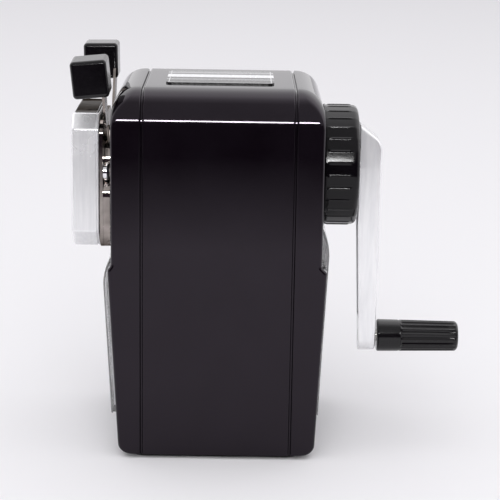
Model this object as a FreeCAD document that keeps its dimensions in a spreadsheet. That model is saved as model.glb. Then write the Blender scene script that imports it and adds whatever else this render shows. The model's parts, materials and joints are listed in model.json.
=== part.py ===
"""Hand-cranked desk pencil sharpener, built piece by piece.

Frame: millimetres, +Z up, the pencil goes in along +Y and the crank is at +Y.  The origin is the
centre of the rubber pad's underside.  The pencil, the cutter carrier and the crank share one axis,
parallel to Y, at `axis_height` above the origin.
"""
import FreeCAD
import Part
import Sketcher
import math
import os
import re

# Driving dimensions, in millimetres, degrees or counts.
DIMS = {
    # shared: how far a cutting tool runs past its work, and how far fused pieces overlap
    "overshoot": 9.0, "weld": 0.3,
    # casing
    "half_width": 32.0, "body_top": 121.0, "shoulder": 12.0, "skirt_bottom": 1.5,
    "wrap_half_depth": 24.2, "sheet_thick": 1.2, "shell_wall": 1.8,
    "front_face": 34.0, "rear_face": 33.4, "edge_round": 8.0, "side_round": 1.3,
    "front_cheek_out": 1.1, "front_taper": 2.0, "rear_cheek_out": 1.7, "rear_taper": 0.9,
    "cheek_edge": 63.2, "cheek_top": 65.4, "cheek_round": 3.5, "rebate_top": 67.4,
    "axis_height": 92.8,
    # base
    "pan_half_width": 30.0, "pan_half_depth": 25.6, "pan_low": 1.2, "pan_thick": 1.6,
    "pad_half_width": 29.4, "pad_half_depth": 28.4, "pad_thick": 1.2, "base_corner": 6.5, "pad_corner": 5.5,
    "base_screw_across": 20.0, "base_screw_along": 21.0, "base_screw_radius": 1.5, "base_head_radius": 3.0,
    "base_head_low": 0.3, "base_head_room": 0.4, "base_slot_reach": 2.4, "base_slot_half": 0.3,
    "base_slot_top": 0.7,
    # chip drawer and rear window
    "bay_half_width": 24.4, "bay_top": 61.5, "drawer_half_width": 23.8, "drawer_low": 3.6,
    "drawer_top": 58.0, "drawer_back": 28.0, "drawer_wall": 1.5, "drawer_front": 31.6,
    "brow_drop": 0.6, "brow_step": 0.4,
    "panel_half_width": 24.0, "panel_low": 12.8, "panel_foot": 0.7, "panel_belly": 56.6, "panel_out": 3.1,
    "panel_top": 66.9, "window_foot": 0.3, "window_belly": 66.6, "window_out": 2.7, "window_top": 77.0,
    "window_hole_top": 67.0, "window_low": 13.0, "window_half_width": 21.4, "window_plug": 1.4,
    "window_gap": 0.05, "window_collar_gap": 0.8,
    # top badge
    "badge_half_width": 13.5, "badge_half_length": 17.4, "badge_thick": 0.5, "badge_corner": 2.0,
    # pencil guide and holder
    "guide_inner": 4.5, "guide_outer": 6.0, "guide_end": 9.2, "guide_flange": 1.2, "guide_flange_wide": 3.0,
    "plate_thick": 0.5, "plate_half_width": 18.0, "plate_low": 70.0, "plate_high": 111.0,
    "plate_corner": 6.0, "plate_rod_room": 0.3,
    "holder_back": 38.6, "holder_front": 47.5, "holder_half_width": 19.0, "holder_low": 67.2,
    "holder_high": 111.4, "holder_bevel": 4.6, "holder_low_bevel": 5.9, "holder_wall": 1.2,
    "mouth_radius": 5.4, "mouth_flare": 0.9, "bezel_radius": 9.0, "bezel_lip": 1.5, "bezel_deep": 2.6,
    "bezel_recess": 0.1, "holder_round": 1.4,
    "clamp_front": 38.4, "clamp_back": 37.4, "hub_outer": 8.0, "hub_inner": 5.2, "hub_back": 34.9,
    "clamp_corner": 5.0, "clamp_drop": 2.2, "clamp_inset": 0.4, "keeper_thick": 0.6, "keeper_wide": 2.4,
    "bridge_inset": 0.3, "bridge_drop": 3.2, "bridge_room": 0.6,
    "lever_thick": 0.8, "lever_gap": 0.1, "ring_outer": 12.0, "ring_clearance": 0.06,
    "knob_across": 21.0, "knob_centre": 40.7, "knob_height": 124.0, "knob_width": 11.5, "knob_tall": 12.0,
    "knob_round": 1.3, "left_splay": 0.0, "right_splay": 3.4, "left_lean": 0.9, "right_lean": 5.6,
    "arm_half_width": 3.4, "arm_root": 6.0, "arm_reach": 40.0,
    "rod_across": 14.5, "rod_height": 73.5, "rod_radius": 2.0, "rod_end": 9.0, "running_gap": 0.05,
    "stop_wide": 1.1, "stop_back": 2.4, "stop_thick": 1.6,
    "spring_radius": 2.75, "spring_wire": 0.3, "spring_pitch": 3.8, "spring_turns": 10.0,
    "stud_across": 15.6, "stud_height": 92.4, "stud_radius": 2.9, "stud_round": 0.9, "stud_short": 0.5,
    "jaw_pivot": 11.0, "jaw_pin": 1.0, "jaw_thick": 1.8, "jaw_boss": 2.2, "jaw_tip_radius": 2.6,
    "jaw_gap": 0.15, "jaw_pin_proud": 0.9, "claw_root": 0.5, "claw_half": 2.0,
    "claw_shoulder": 3.6, "claw_wide": 0.9, "claw_rise": 1.5, "claw_drop": 0.55, "claw_heel": 3.0,
    "claw_heel_low": 0.4,
    # rear bearing, ring gear and cutter
    "housing_outer": 17.3, "housing_inner": 15.5, "housing_front": 21.8, "flange_radius": 20.3,
    "neck_radius": 15.9, "neck_end": 41.8, "bush_outer": 8.0, "shaft_radius": 5.0,
    "housing_step": 0.6, "housing_web": 3.0, "flange_thick": 1.8, "tube_wall": 1.8, "neck_wall": 2.0,
    "housing_flat": 17.6, "bush_proud": 0.4, "neck_lug_start": 2.2, "neck_lug_thick": 1.8,
    "lug_turn": 35.0, "neck_lug_radius": 17.2, "collar_lug_radius": 16.2,
    "gear_mesh": 23.5, "ring_root": 12.9, "ring_tip": 11.3, "ring_teeth": 30, "ring_width": 3.2,
    "ring_tooth_foot": 0.82, "ring_tooth_tip": 0.24,
    "pinion_root": 3.85, "pinion_tip": 5.4, "pinion_teeth": 12, "pinion_width": 2.6,
    "pinion_tooth_foot": 0.78, "pinion_tooth_tip": 0.3, "gear_offset": 7.2,
    "cutter_tilt": 9.5, "cutter_radius": 7.7, "cutter_length": 24.3, "cutter_teeth": 12,
    "cutter_twist": 60.0, "cutter_sections": 6, "cutter_gap": 3.5, "cutter_neck_radius": 3.2,
    "cutter_neck_start": 5.4, "cutter_neck_long": 4.0, "tooth_land": 0.18, "tooth_foot": 0.3,
    "tooth_deep": 1.5,
    "axle_radius": 1.5, "axle_gap": 0.06, "axle_front": 8.0, "axle_spare": 12.6, "carrier_start": 6.6,
    "carrier_back": 27.2, "carrier_rear_thick": 3.0, "carrier_outer": 10.6, "carrier_inner": 5.7,
    "carrier_disc": 15.6, "carrier_hub_long": 3.8, "carrier_hub_wall": 2.6, "carrier_fit": 0.06,
    "carrier_disc_gap": 0.2, "carrier_lap": 0.4, "carrier_split": 0.7, "carrier_slot_half": 4.0,
    "carrier_slot_start": -2.0, "carrier_slot_end": 16.0,
    # lock collar
    "collar_radius": 20.2, "collar_bore": 17.5, "collar_front": 33.9, "collar_back": 45.5,
    "collar_flats": 30,
    "collar_wall": 2.8, "collar_hole": 8.6, "collar_round": 2.4, "collar_lug_start": 0.2,
    "collar_lug_thick": 1.2,
    # crank and grip
    "crank_inner": 46.4, "crank_outer": 53.6, "crank_half_width": 6.0, "crank_end_radius": 5.0,
    "crank_wall": 1.3, "crank_throw": 59.3, "crank_top": 14.2, "crank_lean": 1.5, "crank_round": 1.0,
    "crank_lean_start": 20.0, "hollow_foot": 7.0, "hollow_top": 7.5,
    "crown_back": 13.9, "crown_out": 4.6, "crown_knee": 10.4, "crown_front": 5.4,
    "crown_centre_out": 1.1, "crown_centre_up": 5.6,
    "screw_radius": 3.6, "screw_seat": 1.2, "screw_fit": 0.02, "screw_low": 0.1, "screw_round": 0.4,
    "screw_slot_half": 0.4, "screw_slot_deep": 0.7, "screw_slot_reach": 5.0, "grip_start": 54.2,
    "grip_end": 81.8, "grip_radius": 5.5,
    "grip_pin_radius": 2.0, "grip_flutes": 18, "grip_smooth": 8.2,
    "grip_round": 0.9, "grip_bevel": 0.8, "flute_half": 0.45, "flute_foot": 0.2, "flute_deep": 0.35,
    "flute_over": 0.5, "flute_stop": 1.6, "grip_bore_end": 4.3,
    "plug_radius": 3.6, "plug_start": 2.2, "plug_end": 0.3, "plug_edge": 0.6,
    "rivet_radius": 3.2, "rivet_start": 1.6, "rivet_end": 3.0, "rivet_back": 4.2,
}

doc = FreeCAD.newDocument("pencil_sharpener")
sheet = doc.addObject("Spreadsheet::Sheet", "dims")
for row, (alias, size) in enumerate(DIMS.items(), start=1):
    sheet.set(f"A{row}", alias)
    sheet.set(f"B{row}", str(size))
    sheet.setAlias(f"B{row}", alias)
doc.recompute()

pieces = []


# ---------------------------------------------------------------- helpers

def linked(text):
    """Put the sheet's name before every alias in an expression."""
    def prefix(word):
        return "dims." + word.group(0) if word.group(0) in DIMS else word.group(0)
    return re.sub(r"[a-z]\w*", prefix, text)


def value(text):
    return float(sheet.evalExpression(str(text)))


def bind(item, **sizes):
    """Bind properties to expressions; a double underscore stands for a dot."""
    for name, text in sizes.items():
        item.setExpression(name.replace("__", "."), linked(str(text)))
    return item


def place(item, x="0", y="0", z="0", axis=(0, 0, 1), angle=0.0):
    """Put an object at a bound position, turned by a plain angle."""
    item.Placement = FreeCAD.Placement(FreeCAD.Vector(), FreeCAD.Rotation(FreeCAD.Vector(*axis), angle))
    return bind(item, Placement__Base__x=x, Placement__Base__y=y, Placement__Base__z=z)


def piece(item, label):
    """Register a finished sub-part; its label names its file."""
    item.Label = label
    pieces.append(item)
    return item


def body(name):
    return doc.addObject("PartDesign::Body", name)


def sketch(owner, role, offset="0"):
    """A sketch on one of the body's own origin planes, moved along that plane's normal."""
    plane = [part for part in owner.Origin.OriginFeatures if part.Role == role][0]
    drawing = owner.newObject("Sketcher::SketchObject", owner.Name + "_sketch")
    drawing.AttachmentSupport = [(plane, "")]
    drawing.MapMode = "FlatFace"
    return bind(drawing, AttachmentOffset__Base__z=offset)


def fix_point(drawing, geometry, end, x, y):
    """Hold a sketch point at bound coordinates."""
    for kind, text in (("DistanceX", x), ("DistanceY", y)):
        index = drawing.addConstraint(Sketcher.Constraint(kind, geometry, end, value(text)))
        drawing.setExpression(f"Constraints[{index}]", linked(str(text)))


def outline(drawing, *steps):
    """A closed outline.

    A step is (x, y) for a straight run to that point, or (x, y, cx, cy, turn) for an arc about
    (cx, cy), with turn +1 counter-clockwise and -1 clockwise.  The last step ends where the first
    starts.
    """
    ends = [(value(step[0]), value(step[1])) for step in steps]
    edges = []
    for index, step in enumerate(steps):
        start = FreeCAD.Vector(*ends[index - 1], 0)
        stop = FreeCAD.Vector(*ends[index], 0)
        if len(step) == 2:
            edges.append((drawing.addGeometry(Part.LineSegment(start, stop)), 1, 2))
            continue
        centre = FreeCAD.Vector(value(step[2]), value(step[3]), 0)
        first, last = (start, stop) if step[4] > 0 else (stop, start)
        angles = [math.atan2(point.y - centre.y, point.x - centre.x) for point in (first, last)]
        if angles[1] <= angles[0]:
            angles[1] += 2 * math.pi
        circle = Part.Circle(centre, FreeCAD.Vector(0, 0, 1), (start - centre).Length)
        arc = drawing.addGeometry(Part.ArcOfCircle(circle, *angles))
        edges.append((arc, 1, 2) if step[4] > 0 else (arc, 2, 1))
        kind = "DistanceX" if abs(stop.y - start.y) > abs(stop.x - start.x) else "DistanceY"
        text = step[2] if kind == "DistanceX" else step[3]
        pin = drawing.addConstraint(Sketcher.Constraint(kind, arc, 3, value(text)))
        drawing.setExpression(f"Constraints[{pin}]", linked(str(text)))
    for index, step in enumerate(steps):
        edge, _, tail = edges[index]
        following, head, _ = edges[(index + 1) % len(edges)]
        drawing.addConstraint(Sketcher.Constraint("Coincident", edge, tail, following, head))
        fix_point(drawing, edge, tail, step[0], step[1])
    return drawing


def circle(drawing, radius, x="0", y="0"):
    centre = FreeCAD.Vector(value(x), value(y), 0)
    ring = drawing.addGeometry(Part.Circle(centre, FreeCAD.Vector(0, 0, 1), value(radius)))
    fix_point(drawing, ring, 3, x, y)
    index = drawing.addConstraint(Sketcher.Constraint("Radius", ring, value(radius)))
    drawing.setExpression(f"Constraints[{index}]", linked(str(radius)))
    return drawing


def rectangle(drawing, low_x, low_y, high_x, high_y):
    return outline(drawing, (low_x, low_y), (high_x, low_y), (high_x, high_y), (low_x, high_y))


def rounded_rectangle(drawing, half_x, half_y, corner):
    """A rectangle about the sketch's origin with round corners."""
    half_x, half_y, corner = f"({half_x})", f"({half_y})", f"({corner})"
    in_x, in_y = f"({half_x} - {corner})", f"({half_y} - {corner})"
    return outline(
        drawing,
        (in_x, f"-{half_y}"), (half_x, f"-{in_y}", in_x, f"-{in_y}", 1),
        (half_x, in_y), (in_x, half_y, in_x, in_y, 1),
        (f"-{in_x}", half_y), (f"-{half_x}", in_y, f"-{in_x}", in_y, 1),
        (f"-{half_x}", f"-{in_y}"), (f"-{in_x}", f"-{half_y}", f"-{in_x}", f"-{in_y}", 1))


def pad(owner, drawing, length, reverse=False, symmetric=False):
    feature = owner.newObject("PartDesign::Pad", owner.Name + "_pad")
    feature.Profile = drawing
    feature.SideType = "Symmetric" if symmetric else "One side"
    feature.Reversed = reverse
    bind(feature, Length=length)
    doc.recompute()
    return feature


def pocket(owner, drawing, length, reverse=False, symmetric=False):
    """Cut a sketch out of the body, and insist that it removes something."""
    before = owner.Shape.Volume
    feature = owner.newObject("PartDesign::Pocket", owner.Name + "_pocket")
    feature.Profile = drawing
    feature.SideType = "Symmetric" if symmetric else "One side"
    feature.Reversed = reverse
    bind(feature, Length=length)
    doc.recompute()
    if owner.Shape.Volume > before - 1e-3:
        raise RuntimeError(owner.Name + ": a pocket cuts nothing")
    return feature


def revolve(owner, drawing):
    """Turn a sketch in the YZ plane about the Y axis."""
    feature = owner.newObject("PartDesign::Revolution", owner.Name + "_turned")
    feature.Profile = drawing
    feature.ReferenceAxis = (drawing, ["H_Axis"])
    feature.Angle = 360.0
    doc.recompute()
    return feature


def pattern(owner, feature, drawing, count):
    """Repeat a feature around the normal of a sketch."""
    around = owner.newObject("PartDesign::PolarPattern", owner.Name + "_pattern")
    around.Originals = [feature]
    around.Axis = (drawing, ["N_Axis"])
    around.Angle = 360.0
    bind(around, Occurrences=count)
    owner.Tip = around
    doc.recompute()
    return around


def fillet(owner, base, radius, chosen):
    """Round the edges of a feature whose middle point passes a test."""
    names = [f"Edge{index}" for index, edge in enumerate(base.Shape.Edges, start=1)
             if chosen(edge.valueAt((edge.FirstParameter + edge.LastParameter) / 2))]
    if not names:
        raise RuntimeError(owner.Name + ": no edge to round")
    feature = owner.newObject("PartDesign::Fillet", owner.Name + "_round")
    feature.Base = (base, names)
    bind(feature, Radius=radius)
    doc.recompute()
    return feature


def turned(name, *steps, z="axis_height"):
    """A body turned about the Y axis from (y, radius) steps, at a height."""
    owner = body(name)
    revolve(owner, outline(sketch(owner, "YZ_Plane"), *steps))
    return place(owner, z=z)


def box(name, low, high):
    """A Part::Box between two bound corners."""
    block = doc.addObject("Part::Box", name)
    bind(block, Length=f"({high[0]}) - ({low[0]})", Width=f"({high[1]}) - ({low[1]})",
         Height=f"({high[2]}) - ({low[2]})")
    return place(block, *low)


def rod(name, radius, start, length, x="0", z="axis_height"):
    """A Part::Cylinder along +Y from a bound start."""
    shaft = doc.addObject("Part::Cylinder", name)
    bind(shaft, Radius=radius, Height=length)
    return place(shaft, x, start, z, axis=(1, 0, 0), angle=-90)


def post(name, radius, low, length, x, y):
    """A Part::Cylinder along +Z."""
    shaft = doc.addObject("Part::Cylinder", name)
    bind(shaft, Radius=radius, Height=length)
    return place(shaft, x, y, low)


def fuse(name, *items):
    joined = doc.addObject("Part::MultiFuse", name)
    joined.Shapes = list(items)
    return joined


def cut(name, base, *tools):
    """Take one or more tools out of a base, and insist that something is removed."""
    result = doc.addObject("Part::Cut", name)
    result.Base = base
    result.Tool = tools[0] if len(tools) == 1 else fuse(name + "_tools", *tools)
    doc.recompute()
    if result.Shape.Volume > base.Shape.Volume - 1e-3:
        raise RuntimeError(name + ": a cut removes nothing")
    return result


def common(name, *items):
    shared = doc.addObject("Part::MultiCommon", name)
    shared.Shapes = list(items)
    return shared


# ---------------------------------------------------------------- casing

def arch(drawing, inset, low):
    """The casing's cross-section: upright sides, round shoulders and a flat top."""
    side, top = f"(half_width - {inset})", f"(body_top - {inset})"
    spring, flat = "(body_top - shoulder)", "(half_width - shoulder)"
    return outline(
        drawing,
        (side, low), (side, spring), (flat, top, flat, spring, 1),
        (f"-{flat}", top), (f"-{side}", spring, f"-{flat}", spring, 1), (f"-{side}", low))


def build_wrap():
    """One folded sheet: both sides, the shoulders and the top."""
    owner = body("wrap")
    pad(owner, arch(sketch(owner, "XZ_Plane"), "0", "skirt_bottom"), "2 * wrap_half_depth", symmetric=True)
    pocket(owner, arch(sketch(owner, "XZ_Plane"), "sheet_thick", "skirt_bottom - overshoot"),
           "2 * wrap_half_depth + overshoot", symmetric=True)
    piece(owner, "body_wrap")


def end_form(name, end, inset, low):
    """The solid form of an end shell, with its open side at the wrap and its face towards -Y."""
    face = f"{end}_face"
    owner = body(name)
    depth = f"({face} - {inset})"
    radius = f"(edge_round - {inset})"
    top = f"(body_top - {inset})"
    out = f"({depth} + {end}_cheek_out)"
    toe = f"({depth} - {end}_taper)"
    pad(owner, arch(sketch(owner, "XZ_Plane", "wrap_half_depth"), inset, low), f"{out} - wrap_half_depth")
    side = sketch(owner, "YZ_Plane")
    outline(
        side,
        (f"-({toe} - cheek_round)", "skirt_bottom"),
        (f"-{toe}", "skirt_bottom + cheek_round",
         f"-({toe} - cheek_round)", "skirt_bottom + cheek_round", -1),
        (f"-{out}", "cheek_edge"), (f"-{depth}", "cheek_top"), (f"-{depth}", f"{top} - {radius}"),
        (f"-({depth} - {radius})", top, f"-({depth} - {radius})", f"{top} - {radius}", -1),
        (f"-({depth} - {radius})", f"{top} + overshoot"), (f"-({depth} + overshoot)", f"{top} + overshoot"),
        (f"-({depth} + overshoot)", "skirt_bottom - overshoot"),
        (f"-({toe} - cheek_round)", "skirt_bottom - overshoot"))
    pocket(owner, side, "2 * half_width + overshoot", symmetric=True)
    wide = f"(half_width - {inset})"
    for plan_face, height, reverse in ((depth, "body_top", True), (out, "cheek_top + overshoot", False)):
        for sign in ("", "-"):
            plan = sketch(owner, "XY_Plane", "cheek_top")
            turn = 1 if sign == "" else -1
            outline(
                plan,
                (f"{sign}({wide} - side_round)", f"-{plan_face}"),
                (f"{sign}{wide}", f"-({plan_face} - side_round)",
                 f"{sign}({wide} - side_round)", f"-({plan_face} - side_round)", turn),
                (f"{sign}({wide} + overshoot)", f"-({plan_face} - side_round)"),
                (f"{sign}({wide} + overshoot)", f"-({plan_face} + overshoot)"),
                (f"{sign}({wide} - side_round)", f"-({plan_face} + overshoot)"))
            pocket(owner, plan, height, reverse=reverse)
    return owner


def build_front_shell():
    outer = end_form("front_outer", "front", "0", "skirt_bottom")
    inner = end_form("front_inner", "front", "shell_wall", "skirt_bottom - overshoot")
    keep = box("front_keep", ("-half_width", "-(front_face - shell_wall)", "-overshoot"),
               ("half_width", "-wrap_half_depth + weld", "body_top"))
    hollow = common("front_hollow", inner, keep)
    bay = box("front_bay", ("-bay_half_width", "-front_face - overshoot", "-overshoot"),
              ("bay_half_width", "-front_face + overshoot", "bay_top"))
    rebate = box("front_rebate", ("-bay_half_width", "-front_face - overshoot", "0"),
                 ("bay_half_width", "-front_face", "rebate_top"))
    guide = rod("front_guide_hole", "guide_outer", "-front_face - overshoot", "2 * overshoot")
    holes = [rod(f"front_rod_hole_{side}", "rod_radius + running_gap", "-front_face - overshoot",
                 "2 * overshoot", f"{sign}rod_across", "rod_height")
             for side, sign in (("left", "-"), ("right", ""))]
    piece(cut("front", outer, hollow, bay, rebate, guide, *holes), "front_shell")


def build_rear_shell():
    outer = end_form("rear_outer", "rear", "0", "skirt_bottom")
    inner = end_form("rear_inner", "rear", "shell_wall", "skirt_bottom - overshoot")
    keep = box("rear_keep", ("-half_width", "-(rear_face - shell_wall)", "-overshoot"),
               ("half_width", "-wrap_half_depth + weld", "body_top"))
    hollow = common("rear_hollow", inner, keep)
    opening = box("rear_opening", ("-window_half_width", "-rear_face - overshoot", "window_low"),
                  ("window_half_width", "-rear_face + overshoot", "window_hole_top"))
    rebate = box("rear_rebate", ("-bay_half_width", "-rear_face - overshoot", "0"),
                 ("bay_half_width", "-rear_face", "rebate_top"))
    bore = rod("rear_bore", "neck_radius", "-rear_face - overshoot", "2 * overshoot")
    shell = cut("rear", outer, hollow, opening, rebate, bore)
    place(shell, angle=180)
    piece(shell, "rear_shell")


def build_base():
    """Steel pan, rubber pad under it and the four screws that hold them."""
    corners = [(x, y) for x in ("-base_screw_across", "base_screw_across")
               for y in ("-base_screw_along", "base_screw_along")]
    pan = body("pan")
    pad(pan, rounded_rectangle(sketch(pan, "XY_Plane", "pan_low"), "pan_half_width", "pan_half_depth",
                               "base_corner"), "pan_thick")
    rubber = body("rubber")
    slab = pad(rubber, rounded_rectangle(sketch(rubber, "XY_Plane"), "pad_half_width", "pad_half_depth",
                                         "pad_corner"), "pad_thick")
    holes = sketch(rubber, "XY_Plane")
    screw_holes = sketch(pan, "XY_Plane")
    for x, y in corners:
        circle(holes, "base_head_radius + base_head_room", x, y)
        circle(screw_holes, "base_screw_radius", x, y)
    pocket(rubber, holes, "pad_thick + overshoot", reverse=True)
    pocket(pan, screw_holes, "pan_low + pan_thick + overshoot", reverse=True)
    piece(pan, "base_pan")
    piece(rubber, "base_pad")
    screws = []
    for index, (x, y) in enumerate(corners, start=1):
        head = post(f"base_head_{index}", "base_head_radius", "base_head_low",
                    "pan_low - base_head_low", x, y)
        shank = post(f"base_shank_{index}", "base_screw_radius", "pan_low - weld",
                     "pan_thick + 2 * weld", x, y)
        slot = box(f"base_slot_{index}", (f"{x} - base_slot_reach", f"{y} - base_slot_half", "-overshoot"),
                   (f"{x} + base_slot_reach", f"{y} + base_slot_half", "base_slot_top"))
        screws.append(cut(f"base_screw_{index}", fuse(f"base_blank_{index}", head, shank), slot))
    piece(fuse("screws", *screws), "base_screws")


def build_badge():
    """A plain raised plate on the top, with no lettering."""
    owner = body("badge")
    pad(owner, rounded_rectangle(sketch(owner, "XY_Plane"), "badge_half_width", "badge_half_length",
                                 "badge_corner"), "badge_thick")
    piece(place(owner, z="body_top"), "top_badge")


# ---------------------------------------------------------------- chip drawer and rear window

def bowed_panel(name, end, top):
    """A panel whose outer face leans out with height and rolls back in at a rounded brow; face towards -Y."""
    owner = body(name)
    face = f"{end[0]}_face"
    foot, belly, bulge = (f"{end[1]}_{role}" for role in ("foot", "belly", "out"))
    out = f"({face} + {bulge})"
    rise = f"({top} - brow_drop - {belly})"
    brow = f"({bulge} - brow_step)"
    bow = f"(({rise}^2 + {brow}^2) / (2 * {brow}))"
    side = sketch(owner, "YZ_Plane")
    outline(
        side,
        (f"-{face} - {foot}", "panel_low"), (f"-{out}", belly),
        (f"-{out} + {brow}", f"{top} - brow_drop", f"-{out} + {bow}", belly, -1),
        (f"-{face} - window_gap", top), (f"-{face} - window_gap", "panel_low"))
    pad(owner, side, "2 * panel_half_width", symmetric=True)
    return owner


def build_drawer():
    """The clear chip bin: a tray, open on top, and the bowed front that covers the bay."""
    low = ("-drawer_half_width", "-drawer_front", "drawer_low")
    high = ("drawer_half_width", "drawer_back", "drawer_top")
    tray = box("tray_block", low, high)
    room = box("tray_room", ("-drawer_half_width + drawer_wall", "-drawer_front + drawer_wall",
                             "drawer_low + drawer_wall"),
               ("drawer_half_width - drawer_wall", "drawer_back - drawer_wall", "drawer_top + overshoot"))
    front = bowed_panel("drawer_front", ("front", "panel"), "panel_top")
    neck = box("drawer_neck", ("-drawer_half_width", "-front_face - weld", "panel_low"),
               ("drawer_half_width", "-drawer_front + weld", "drawer_top"))
    piece(fuse("drawer", cut("tray", tray, room), neck, front), "chip_drawer")


def build_rear_window():
    """The matching clear panel on the back, fixed, with a plug that fills the opening behind it."""
    panel = bowed_panel("window_panel", ("rear", "window"), "window_top")
    plug = box("window_plug", ("-window_half_width + window_gap", "-rear_face - weld",
                               "window_low + window_gap"),
               ("window_half_width - window_gap", "-rear_face + window_plug",
                "window_hole_top - window_gap"))
    collar_room = rod("window_collar_room", "collar_radius + window_collar_gap", "-collar_back",
                      "collar_back - rear_face + weld")
    window = cut("window", fuse("window_blank", panel, plug), collar_room)
    place(window, angle=180)
    piece(window, "rear_window")


# ---------------------------------------------------------------- pencil guide and holder

def build_guide():
    guide = turned(
        "guide",
        ("-front_face - plate_thick", "guide_inner"), ("-guide_end", "guide_inner"),
        ("-guide_end", "guide_outer"),
        ("-front_face + shell_wall + guide_flange", "guide_outer"),
        ("-front_face + shell_wall + guide_flange", "guide_outer + guide_flange_wide"),
        ("-front_face + shell_wall", "guide_outer + guide_flange_wide"),
        ("-front_face + shell_wall", "guide_outer"),
        ("-front_face - plate_thick", "guide_outer"))
    piece(guide, "pencil_guide_tube")


def stadium_plate(name, low, high, half_width, corner, thick, front):
    """A flat plate in the XZ plane with round corners, its front face at -front."""
    owner = body(name)
    drawing = sketch(owner, "XZ_Plane", front)
    half_height = f"(({high} - {low}) / 2)"
    rounded_rectangle(drawing, half_width, half_height, corner)
    pad(owner, drawing, thick, reverse=True)
    return place(owner, z=f"({high} + {low}) / 2")


def build_front_plate():
    """Thin bright plate on the casing's face, behind the holder."""
    plate = stadium_plate("escutcheon", "plate_low", "plate_high", "plate_half_width", "plate_corner",
                          "plate_thick", "front_face + plate_thick")
    holes = [rod("plate_guide_hole", "guide_outer", "-front_face - overshoot", "2 * overshoot")]
    for side, sign in (("left", "-"), ("right", "")):
        holes.append(rod(f"plate_rod_hole_{side}", "rod_radius + plate_rod_room",
                         "-front_face - overshoot", "2 * overshoot", f"{sign}rod_across", "rod_height"))
    piece(cut("front_plate_cut", plate, *holes), "front_plate")


def bevelled(drawing, inset):
    """The holder's front view: a tall rectangle with bevelled corners."""
    side = f"(holder_half_width - {inset})"
    upper, lower = (f"({bevel} - {inset} * (2 - sqrt(2)))"
                    for bevel in ("holder_bevel", "holder_low_bevel"))
    low, high = f"(holder_low + {inset})", f"(holder_high - {inset})"
    return outline(
        drawing,
        (f"{side} - {lower}", low), (side, f"{low} + {lower}"), (side, f"{high} - {upper}"),
        (f"{side} - {upper}", high), (f"-({side} - {upper})", high), (f"-{side}", f"{high} - {upper}"),
        (f"-{side}", f"{low} + {lower}"), (f"-({side} - {lower})", low))


def build_holder_cover():
    owner = body("cover")
    block = pad(owner, bevelled(sketch(owner, "XZ_Plane", "holder_back"), "0"),
                "holder_front - holder_back")
    front = -value("holder_front")
    fillet(owner, block, "holder_round", lambda middle: abs(middle.y - front) < 1e-3)
    pocket(owner, bevelled(sketch(owner, "XZ_Plane", "holder_back - overshoot"), "holder_wall"),
           "holder_front - holder_back + overshoot - holder_wall", reverse=True)
    mouth = circle(sketch(owner, "XZ_Plane", "holder_front + overshoot"), "bezel_radius - bezel_lip", "0",
                   "axis_height")
    pocket(owner, mouth, "overshoot + bezel_deep")
    piece(owner, "holder_cover")
    bezel = turned(
        "mouth_ring",
        ("-holder_front + bezel_recess", "mouth_radius + mouth_flare"),
        ("-holder_front + bezel_recess + mouth_flare", "mouth_radius"),
        ("-holder_front + bezel_deep", "mouth_radius"), ("-holder_front + bezel_deep", "bezel_radius"),
        ("-holder_front + holder_wall", "bezel_radius"),
        ("-holder_front + holder_wall", "bezel_radius - bezel_lip"),
        ("-holder_front + bezel_recess", "bezel_radius - bezel_lip"))
    piece(bezel, "pencil_bezel")


def build_clamp_plate():
    """Plate that closes the holder: it carries the hub of the lever rings, the jaw pins and the rods."""
    plate = stadium_plate("clamp", "holder_low", "holder_high - clamp_drop",
                          "holder_half_width - clamp_inset", "clamp_corner",
                          "clamp_front - clamp_back", "clamp_front")
    hub = turned("clamp_hub", ("-clamp_back - weld", "hub_inner"), ("-hub_back", "hub_inner"),
                 ("-hub_back", "hub_outer"), ("-clamp_back - weld", "hub_outer"))
    hole = rod("clamp_hole", "hub_inner", "-clamp_front - overshoot", "2 * overshoot")
    rods = [rod(f"clamp_rod_hole_{side}", "rod_radius", "-clamp_front - overshoot", "2 * overshoot",
                f"{sign}rod_across", "rod_height") for side, sign in (("left", "-"), ("right", ""))]
    pins = []
    for index in range(3):
        angle = math.radians(120 * index)
        pins.append(rod(f"clamp_pin_hole_{index + 1}", "jaw_pin", "-clamp_front - overshoot",
                        "2 * overshoot",
                        f"jaw_pivot * {math.cos(angle):.6f}",
                        f"axis_height + jaw_pivot * {math.sin(angle):.6f}"))
    drilled = cut("clamp_drilled", plate, hole, *rods, *pins)
    piece(fuse("clamp_whole", drilled, hub), "clamp_plate")
    keeper = turned("keeper", ("-hub_back - keeper_thick", "hub_outer"), ("-hub_back", "hub_outer"),
                    ("-hub_back", "hub_outer + keeper_wide"),
                    ("-hub_back - keeper_thick", "hub_outer + keeper_wide"))
    piece(keeper, "lever_retainer")


def build_rod_bridge():
    """Bright block low behind the clamp plate: it ties the rods together and reaches past the rings."""
    thick = "clamp_back - running_gap - hub_back - bridge_inset"
    block = stadium_plate("bridge", "holder_low + bridge_inset", "stud_height - bridge_drop",
                          "holder_half_width - 2 * bridge_inset", "clamp_corner", thick,
                          "clamp_back - running_gap")
    room = rod("bridge_room", "ring_outer + bridge_room", "-clamp_front - overshoot", "2 * overshoot")
    rods = [rod(f"bridge_rod_hole_{side}", "rod_radius", "-clamp_front - overshoot", "2 * overshoot",
                f"{sign}rod_across", "rod_height") for side, sign in (("left", "-"), ("right", ""))]
    piece(cut("bridge_cut", block, room, *rods), "rod_bridge")


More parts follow.
